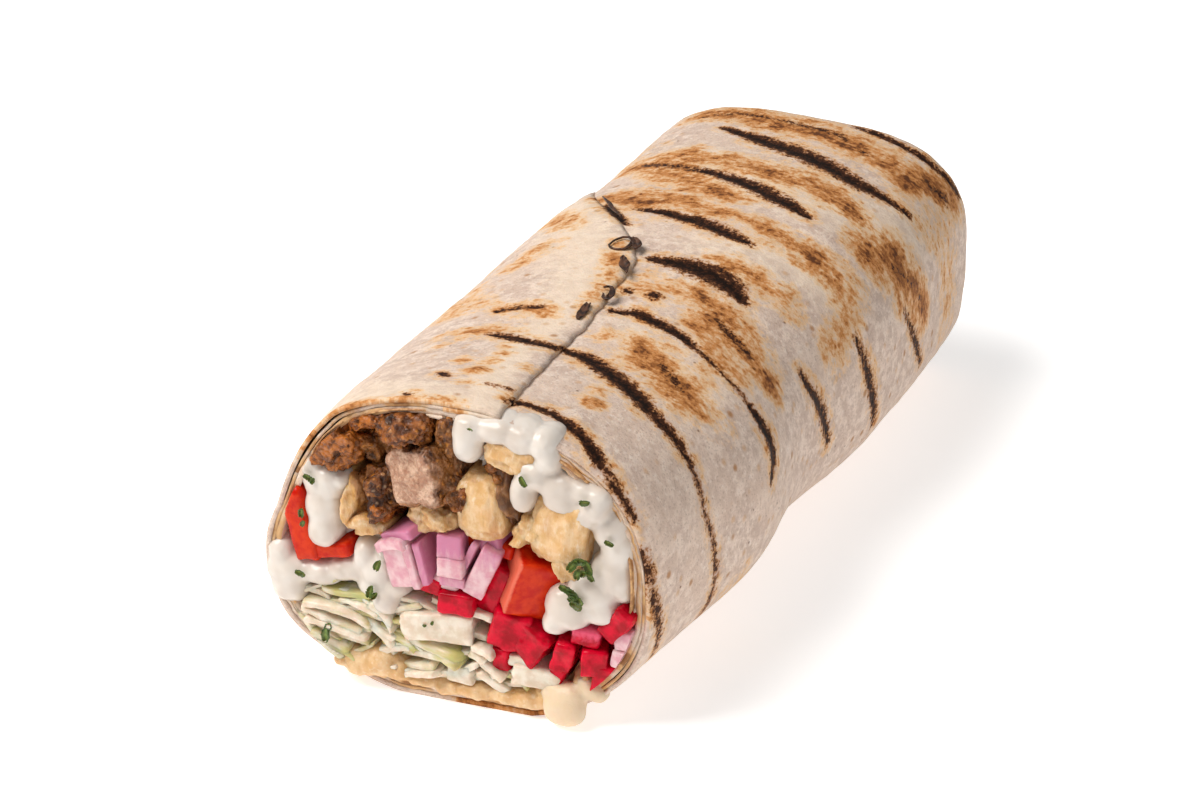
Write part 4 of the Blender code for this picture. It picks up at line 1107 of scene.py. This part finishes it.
onion_colour = wet_look(
    "red onion", (0.66, 0.31, 0.36), (0.76, 0.52, 0.53), (0.58, 0.20, 0.32), 0.2, 0.2, lines=(1.0, 0.3, 0.3)
)
gathered("red_onion_dice", [
    core_of("red_onion", 5),
    cut_block(-8.2, 38.7, 8.4, 2.4, 24, 2.6, edge=0.4, tone=from_top(-3, 0.4), bow=0.5, yaw=-12),
    cut_block(-9.6, 36.4, 8.0, 2.6, 24, 3.2, edge=0.4, tone=from_top(-1, 4), bow=0.6, yaw=-12),
    cut_block(-9.4, 31.4, 5.6, 9.6, 14, 2.4, edge=0.5, tone=same(0.12)),
    cut_block(-6.0, 32.3, 1.9, 10.2, 16, 3.4, edge=0.4, tone=same(0.3)),
    cut_block(-3.9, 33.1, 1.8, 9.8, 14, 3.0, edge=0.4, tone=same(0.75)),
    cut_block(1.6, 38.2, 5.6, 5.6, 0, 2.8, edge=0.5, tone=from_top(-2.4, 0.8), yaw=6),
    cut_block(1.9, 33.6, 5.6, 4.2, 0, 3.4, edge=0.4, tone=from_top(-0.4, 2.8), yaw=6),
    cut_block(2.1, 30.2, 5.4, 2.2, -3, 2.9, edge=0.4, tone=same(0.55), yaw=6),
    cut_block(7.9, 33.6, 4.6, 12.4, -24, 2.4, edge=0.5, tone=lambda ball: 0.3 + 0.3 * ball.z, yaw=12),
    cut_block(5.2, 34.4, 1.6, 11.2, -24, 1.4, edge=0.4, tone=same(0.6)),
    cut_block(9.8, 39, 5, 5, 10, 0.2, tone=from_top(-1, 0)),
    cut_block(0.5, 28.6, 6, 3, 0, 1.2),
], "red_onion", onion_colour)
gathered("red_onion_by_the_rim", [
    core_of("red_onion_right", 4),
    cut_block(39, 22, 5, 4.5, 10, 1, edge=0.8),
    cut_block(39, 17.6, 5.5, 4.2, -8, 1.5, edge=0.8),
], "red_onion_right", onion_colour)

# Pickled turnip: cut in small sticks and dice, dyed deep crimson right through by beetroot, wet and glossy.
# It fills the lower right, under the tomato and the sauce.
turnip_colour = wet_look(
    "pickled turnip", (0.36, 0.0008, 0.009), (0.68, 0.003, 0.026), (0.78, 0.10, 0.18), 0.14, 0.06,
    size=3, shine=0.16,
)
gathered("pickle_sticks", [
    core_of("pickled_turnip", 5),
    cut_block(-2.8, 27.5, 5, 4, -10, 1.2, edge=0.7),
    cut_block(2.2, 24.8, 8, 5, -4, 2.6, edge=0.7, uneven=0.4, yaw=8),
    cut_block(9.5, 28, 6, 12, -20, -0.6, edge=0.8),
    cut_block(12.4, 20.6, 8, 8.6, -18, 1.8, edge=0.7, uneven=0.7, yaw=20),
    cut_block(18.4, 17.8, 9, 8.4, -30, 1.6, edge=0.8, uneven=0.8, yaw=-6),
    cut_block(12.2, 12.8, 3.8, 5.4, 4, 1.2, edge=0.7, uneven=0.5),
    cut_block(25, 16.6, 4.6, 7.2, -12, 2.2, edge=0.7, uneven=0.7, yaw=12),
    cut_block(24.3, 11.4, 3.6, 4.4, -24, 1.0, edge=0.7),
    cut_block(29.8, 21.6, 6.2, 4.2, -8, 1.4, edge=0.7, uneven=0.4, yaw=10,
              tone=lambda ball: 0.4 + 0.4 * ball.z),
    cut_block(30.7, 16.2, 5.6, 6.2, -4, 2.4, edge=0.6, uneven=0.5, yaw=22),
    cut_block(33.6, 12, 5, 8, -14, 1.4, edge=0.7, uneven=0.5, yaw=10),
    cut_block(37.6, 25.8, 4.6, 8.4, -38, 1.6, edge=0.7, uneven=0.5),
], "pickled_turnip", turnip_colour)

# Hummus: a thick tan chickpea paste, spread on the bread under everything. It bulges out below the salad
# and one drop of it hangs over the rim at the lower right.
MELTED_TO = 0.42 * MM
BLOB_SQUARENESS = 0.85


def blob(x, z, width, height, turn, proud, depth):
    ball = bmesh.new()
    bmesh.ops.create_icosphere(ball, subdivisions=3, radius=0.5)
    for vertex in ball.verts:
        vertex.co = Vector(signed_power(value * 2, BLOB_SQUARENESS) / 2 for value in vertex.co)
    bmesh.ops.scale(ball, vec=Vector((width, depth, height)) * MM, verts=ball.verts)
    return set_down(ball, x, z, turn, proud, depth)


def poured(blobs, depth=11, rough=0.22, rough_size=3.2, ease=14, pale=0):
    """A pool of thick paste: rounded blobs melted into one smooth skin.

    A blob is x, z, width, height, turn and how far it stands proud of the cut.
    """
    pool = bpy.data.objects.new("pool", mesh_of("pool", joined(blob(*one, depth) for one in blobs)))
    bpy.context.scene.collection.objects.link(pool)
    melt = pool.modifiers.new("melt", "REMESH")
    melt.mode = "VOXEL"
    melt.voxel_size = MELTED_TO
    eased = pool.modifiers.new("ease", "SMOOTH")
    eased.factor = 0.5
    eased.iterations = ease
    evaluated = pool.evaluated_get(bpy.context.evaluated_depsgraph_get())
    melted = bpy.data.meshes.new_from_object(evaluated)
    bpy.data.objects.remove(pool, do_unlink=True)
    bm = bmesh.new()
    bm.from_mesh(melted)
    bpy.data.meshes.remove(melted)
    bmesh.ops.recalc_face_normals(bm, faces=bm.faces)
    layer = bm.verts.layers.float.new("tone")
    for vertex in bm.verts:
        vertex[layer] = pale
        place = vertex.co / (rough_size * MM)
        uneven = noise.noise(place) + 0.4 * noise.noise(place / 0.35)
        vertex.co += vertex.normal * rough * MM * uneven
    return bm


def hummus_look():
    made, tree, principled = shader("hummus")
    where = coordinates(tree)
    medium = speckle(tree, where, 3.5 * MM, 4, 0.6)
    fine = speckle(tree, where, 0.8 * MM, 3)
    colour = mixed(tree, rising(tree, medium, 0.35, 0.65), (0.64, 0.37, 0.15), (0.74, 0.51, 0.28))
    colour = over(tree, colour, (0.80, 0.64, 0.44), fine, 0.56, 0.7, 0.4)
    colour = mixed(tree, value_of(tree, "tone"), colour, (0.74, 0.58, 0.40))
    put(tree, principled.inputs["Base Color"], colour)
    surface(principled, roughness=0.42, soft=0.25)
    relief(tree, principled, plus(tree, medium, fine, 0.4), 0.5, 0.6 * MM)
    return made


HUMMUS_BULGE = [
    (-22.5, 5.4, 7, 5.4, 0, 1.8), (-20, 5.6, 8, 7, 0, 2.4), (-15.6, 6.4, 10, 7.6, 0, 3.0),
    (-11.3, 5.0, 6.5, 5.6, 0, 2.2), (-6, 3.4, 8.5, 3.4, 0, 1.2), (0, 3.4, 8.5, 4.4, 0, 1.8),
    (6.2, 3.5, 10, 4.4, 0, 2.2), (12.2, 3.6, 9, 4.8, 0, 1.8), (17.6, 3.8, 8.6, 5, 0, 2.4),
    (21.5, 5.0, 6, 6.2, 0, 2.0), (29.5, 9.5, 5.5, 6.5, 0, 1.0),
]
HUMMUS_DROP = [
    (24.4, 6.6, 7.5, 6, 0, 2.6), (26.6, 6, 9, 7.6, 10, 3.8), (26.6, 4.4, 9.4, 7.8, 0, 4.7),
    (31.4, 8.8, 8, 4.2, -30, 1.8),
]
gathered("hummus_layer", [core_of("hummus", 3)], "hummus", hummus_look(), free=[
    poured(HUMMUS_BULGE, rough=0.55, rough_size=2.6, ease=8),
    poured(HUMMUS_DROP, depth=6.4, rough=0.12, ease=8, pale=0.9),
])

# Cabbage: shredded white cabbage in bent strips, cream with pale green edges, lying crosswise in a layer.
# Loose shreds fill it, stacks of leaves that were cut together lie in front, and a few broad bits of rib.


def strip(x, z, length, thick, turn=0, bend=0.0, proud=1.5, depth=11, green=0.3, seed=0, crisp=0.45, yaw=0):
    """A shred of cabbage: a flat bent strip with an uneven edge."""
    bm, layer = fine_cube()
    half = Vector((length, depth, thick)) * MM / 2
    for vertex in bm.verts:
        ball = vertex.co * 2
        out = rounded(ball, half, min(half) * crisp)
        shift = noise.noise_vector(out / (6 * MM) + Vector((x, z, seed))) * 0.6
        shift += noise.noise_vector(out / (1.3 * MM) + Vector((z, seed, x))) * 0.16
        shift.x += 0.5 * noise.noise(Vector((out.z / (1.2 * MM), seed, out.y / (4 * MM)))) * abs(ball.x)
        shift.z += bend * (0.25 - (ball.x / 2) ** 2) * 4
        vertex.co = out + shift * MM
        edge = 0.5 * abs(ball.x) ** 3 + 0.8 * noise.noise(out / (4 * MM) + Vector((seed, 2, x)))
        vertex[layer] = min(max(green * (0.6 + edge), 0), 1)
    return set_down(bm, x, z, turn, proud, depth, 0, yaw)


def leaf_stack(x, z, length, height, turn, bend, proud, green, seed, thick=1.9):
    """Leaves of cabbage that were cut through together: thin shreds lying on one another."""
    steps = np.random.default_rng(seed)
    count = max(round(height / thick), 1)
    made = []
    for index in range(count):
        up = (index + 0.5) / count * height - height / 2
        across, tilt = steps.uniform(-0.7, 0.7), math.radians(turn)
        made.append(strip(
            x + across - up * math.sin(tilt), z + up * math.cos(tilt), length * steps.uniform(0.8, 1.05),
            height / count * steps.uniform(0.7, 1.1), turn + steps.uniform(-12, 12),
            bend + steps.uniform(-0.7, 0.7), proud + steps.uniform(-0.8, 0.8),
            green=min(green * steps.uniform(0.2, 1.9), 1), seed=seed + index, crisp=0.7,
            yaw=steps.uniform(-14, 14),
        ))
    return made


rng = np.random.default_rng(5)
shreds = [core_of("cabbage", 6)]
for row, up in enumerate((6.4, 8.6, 10.8, 13, 15.2, 17.4, 19.6, 21.6)):
    for across in np.arange(-33 + 4 * (row % 2), 22 if up < 9 else 4, 8):
        shreds.append(strip(
            across + rng.uniform(-1.5, 1.5), up + rng.uniform(-0.8, 0.8), rng.uniform(9, 15),
            rng.uniform(0.8, 1.8), rng.uniform(-26, 26), rng.uniform(-1.8, 1.8), rng.uniform(-0.4, 1.4),
            green=rng.uniform(0.1, 0.8), seed=row,
        ))
for settings in (
    (-24.8, 15.4, 15, 5.4, -10, 0.8, 2.0, 0.35, 110), (-19.4, 20, 11, 3, -14, 0.5, 1.4, 0.3, 120),
    (-14.4, 18.4, 9, 2.8, -34, 0.5, 1.8, 0.2, 130), (-13.2, 14.6, 7, 5.0, -26, 0.4, 1.8, 0.15, 140),
    (-26.0, 9.4, 10.5, 4.2, -26, -0.6, 1.6, 0.7, 150), (-2.4, 11.2, 15, 4.6, 3, 0.9, 2.0, 0.75, 160),
    (-5.0, 7.2, 8.5, 3.2, 10, 0.6, 1.6, 0.45, 170), (9.9, 8.6, 7.6, 4.6, -24, 0.4, 1.4, 0.2, 180),
    (8.4, 13.2, 5, 4.4, -20, 0.2, 1.6, 0.2, 190), (-30.5, 12, 8, 2.0, -40, 0.6, 1.2, 0.5, 200),
    (-8.8, 21.4, 8, 1.8, 20, 0.6, 1.0, 0.4, 210),
):
    shreds += leaf_stack(*settings)
shreds += [
    strip(-1.9, 17.6, 15.4, 6.8, 5, 0.8, 2.4, green=0.1, seed=13, crisp=0.22, yaw=10),
    strip(19.0, 9.8, 10.2, 5.2, -8, 0.6, 1.8, green=0.05, seed=19, crisp=0.3, yaw=12),
    strip(3.4, 7.6, 5.6, 4.0, 0, 0, 1.6, green=0.15, seed=17, crisp=0.3),
    strip(16.4, 13, 5, 2.4, 10, 0, 1.2, green=0.1, seed=21),
]
gathered("cabbage_shreds", shreds, "cabbage", wet_look(
    "shredded cabbage", (0.69, 0.56, 0.42), (0.80, 0.71, 0.59), (0.52, 0.47, 0.17), 0.2, 0.35,
    lines=(0.2, 1, 1), size=2.4,
))

# White sauce: thick yoghurt and garlic sauce, poured over the fillings. It lies in three pools with
# rounded hanging edges, glossy and softly shaded.


def sauce_look():
    made, tree, principled = shader("white sauce")
    where = coordinates(tree)
    broad = speckle(tree, where, 8 * MM, 2)
    fine = speckle(tree, where, 1.2 * MM, 2)
    colour = mixed(tree, rising(tree, broad, 0.4, 0.62), (0.65, 0.565, 0.49), (0.74, 0.67, 0.60))
    put(tree, principled.inputs["Base Color"], colour)
    surface(principled, shine=0.45, roughness=0.24, soft=0.35, glow=(1.0, 0.85, 0.7), reach=1.2)
    relief(tree, principled, plus(tree, broad, fine, 0.1), 0.25, 0.8 * MM)
    return made


sauce_colour = sauce_look()
RIGHT_POOL = [
    (5.8, 66.0, 7.6, 5, 0, 2.6), (5.4, 62.4, 6.9, 11.6, 0, 3.0), (11.4, 65.2, 11, 6.6, 0, 2.6),
    (16.8, 64.2, 9, 7.4, -10, 2.6), (21.6, 63.6, 6, 7, -20, 2.6), (22.7, 60.6, 5.8, 6.7, 0, 2.6),
    (19.5, 57.1, 9.1, 7.8, 0, 3.0), (17.3, 52.4, 5.6, 9.8, 0, 3.2), (24.5, 55.0, 11, 7, -8, 2.6),
    (25.4, 51.8, 9, 6, -12, 2.8), (30, 49.6, 8, 7, -20, 2.6), (29.8, 54.6, 9, 6, -20, 2.2),
    (33.0, 52, 6.8, 8.8, -10, 3.4), (35.4, 46.3, 8.4, 9.4, 0, 2.0), (36.8, 42, 8, 10.2, 0, 1.8),
    (35.6, 36.6, 9.5, 10.2, 0, 2.2), (31.4, 31.9, 11.6, 9.4, -6, 2.6), (26.5, 27.2, 10.6, 11, 0, 3.0),
    (33.1, 28, 9.1, 7.8, 0, 2.4), (23.8, 23.4, 6, 6, 0, 2.8), (38.3, 34.5, 4.8, 10.2, 0, 1.6),
]
LEFT_POOL = [
    (-29.6, 50.4, 5.8, 6.6, 30, 1.4), (-26.9, 46.6, 10.3, 9, 6, 2.0), (-22.5, 48.0, 4, 4.4, 0, 1.4),
    (-26.9, 41, 8.8, 9.8, 0, 2.4), (-26.8, 36, 7.4, 9, 0, 3.0),
]
MIDDLE_POOL = [
    (-37.0, 28, 6.6, 9, 8, 1.6), (-35.8, 24.7, 11, 8.6, 0, 2.0), (-28.9, 25, 11.3, 6.4, 0, 1.8),
    (-23.4, 26.6, 7, 5.6, 0, 1.7), (-20.6, 27.4, 7, 6.4, 0, 1.7), (-18.1, 30.6, 5.6, 9, 0, 1.8),
    (-15.4, 27.5, 8.1, 9.4, 0, 2.4), (-13.4, 33.2, 4.4, 4.7, 0, 1.4), (-15.5, 24, 9.6, 5.4, 0, 2.2),
    (-11, 25.4, 6.8, 5.4, 0, 2.2), (-13, 22.0, 6.8, 8, 0, 3.0), (-35.6, 20.8, 9.4, 9.2, 10, 1.8),
]
for piece, node, kept_in_bread, hanging in (
    ("sauce_on_the_right", "white_sauce_right", [], [RIGHT_POOL]),
    ("sauce_on_the_left", "white_sauce_left", [LEFT_POOL], []),
    ("sauce_in_the_middle", "white_sauce_middle", [], [MIDDLE_POOL]),
):
    core = core_of(node, 3)
    pools = [poured(pool) for pool in kept_in_bread]
    gathered(piece, [core] + pools, node, sauce_colour, free=[poured(pool) for pool in hanging])

# Herbs: chopped parsley in small curled flakes, stuck to the sauce and a few on the salad. Each is a thin
# leaf folded along its middle, with an edge that the knife left ragged.
LEAF_SLIMNESS = 0.55
LEAF_THICKNESS = 0.2 * MM


def leaf(x, z, size, turn, proud, seed=0):
    """A torn flake of leaf, curled along its middle, with a ragged edge."""
    bm = bmesh.new()
    layer = bm.verts.layers.float.new("tone")
    bmesh.ops.create_grid(bm, x_segments=16, y_segments=8, size=0.5)
    for vertex in bm.verts:
        across, up = vertex.co.x, vertex.co.y
        belly = math.sqrt(max(1 - 3.4 * across * across, 0.06))
        belly *= 1 + 0.45 * noise.noise(Vector((across * 9, seed, 1)))
        fold = 4 * up * up + 0.5 * math.sin(across * 3.2 + seed)
        vertex[layer] = min(abs(up) * 2.2, 1)
        slim = size * LEAF_SLIMNESS
        vertex.co = Vector((across * size, (0.3 - fold) * slim * 0.4, up * slim * belly)) * MM
    bmesh.ops.solidify(bm, geom=bm.faces[:], thickness=LEAF_THICKNESS)
    bmesh.ops.recalc_face_normals(bm, faces=bm.faces)
    return set_down(bm, x, z, turn, proud, 0)


herb_colour = wet_look(
    "chopped parsley", (0.10, 0.17, 0.025), (0.22, 0.32, 0.055), (0.055, 0.095, 0.015), 0.4, 0.1, size=1,
)
leaves = [
    (7.7, 67.4, 2.2, 65, 2.9), (19.2, 57, 2.4, -50, 3.4), (31.8, 54.3, 2.2, 8, 3.0),
    (36.9, 45.7, 2.0, -30, 2.6), (-28.4, 48.7, 2.4, -35, 2.0), (-27.6, 48.2, 1.6, 60, 2.2),
    (-30.6, 40, 2.4, 75, 1.8), (-30.2, 37.8, 1.7, 60, 2.2), (-13.6, 31.2, 2.6, 66, 2.6),
    (-15.4, 24.8, 2.6, 78, 2.9), (-14.6, 24.0, 1.8, 50, 2.9), (-31.2, 25.8, 2.4, -12, 2.1),
    (-25.2, 14.2, 2.6, 60, 2.6), (-25.8, 12.2, 3.4, 82, 2.6), (-3.4, 19.1, 0.9, 20, 2.9),
    (-1.7, 19.9, 0.9, 70, 2.9), (29.2, 39.4, 3.0, 55, 3.0), (30.8, 40.6, 2.8, 8, 3.2),
    (32.6, 39.4, 3.2, -55, 3.0), (31.2, 38, 2.6, 30, 3.0), (30.2, 37.4, 2.6, 75, 2.9),
    (33.2, 37.4, 2.4, -70, 2.8), (27.9, 33.9, 2.8, -25, 3.2), (29.2, 33.0, 3.2, -35, 3.3),
    (30.2, 31.8, 3.4, -25, 3.3), (30.0, 30.4, 3.0, -10, 3.2), (28.9, 31.7, 2.0, 40, 3.1),
]
herbs = gathered(
    "herb_flakes", [leaf(*leaf_at, seed=i) for i, leaf_at in enumerate(leaves)],
    "white_sauce_right", herb_colour,
)
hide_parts("white_sauce_left", "white_sauce_middle", "cabbage")

# The table: a plain white board for the photo, with a large soft light from the upper left, a weaker one
# from the right and a pale room round it.
bm = bmesh.new()
bmesh.ops.create_grid(bm, x_segments=8, y_segments=8, size=1.5)
table = bpy.data.objects.new("table_top", mesh_of("table_top", bm))
bpy.context.scene.collection.objects.link(table)
made, tree, principled = shader("white table")
marble = speckle(tree, coordinates(tree), 60 * MM, 2)
put(tree, principled.inputs["Base Color"], mixed(tree, marble, (0.90, 0.90, 0.90), (0.91, 0.91, 0.91)))
principled.inputs["Roughness"].default_value = 0.9
principled.inputs["Emission Color"].default_value = (1, 1, 1, 1)
principled.inputs["Emission Strength"].default_value = 0.5
table.data.materials.append(made)


def soft_light(name, place, aim, size, power, colour=(1, 1, 1)):
    data = bpy.data.lights.new(name, "AREA")
    data.size = size
    data.energy = power
    data.color = colour
    lamp = bpy.data.objects.new(name, data)
    bpy.context.scene.collection.objects.link(lamp)
    lamp.location = place
    lamp.rotation_euler = (Vector(aim) - Vector(place)).to_track_quat("-Z", "Y").to_euler()


soft_light("window", (-0.62, -0.5, 1.2), (0, 0, 0.03), 0.8, 21.5, (1.0, 0.98, 0.95))
soft_light("fill", (0.9, -0.8, 0.7), (0, 0, 0.03), 1.0, 2.2, (1.0, 0.99, 0.98))
world = bpy.data.worlds.new("pale room")
world.use_nodes = True
world.node_tree.nodes["Background"].inputs["Color"].default_value = (1, 1, 1, 1)
world.node_tree.nodes["Background"].inputs["Strength"].default_value = 0.25
bpy.context.scene.world = world
bpy.context.scene.view_settings.view_transform = "Standard"

camera_data = bpy.data.cameras.new("camera")
camera_data.lens = 117
camera_data.sensor_width = 36
camera_data.shift_x = -0.01666
camera_data.shift_y = 0.00411
camera = bpy.data.objects.new("camera", camera_data)
bpy.context.scene.collection.objects.link(camera)
camera.location = (0.3247, -0.7120, 0.4250)
looked_at = Vector((-0.0029, -0.0095, 0.03))
camera.rotation_euler = (looked_at - camera.location).to_track_quat("-Z", "Y").to_euler()
bpy.context.scene.camera = camera
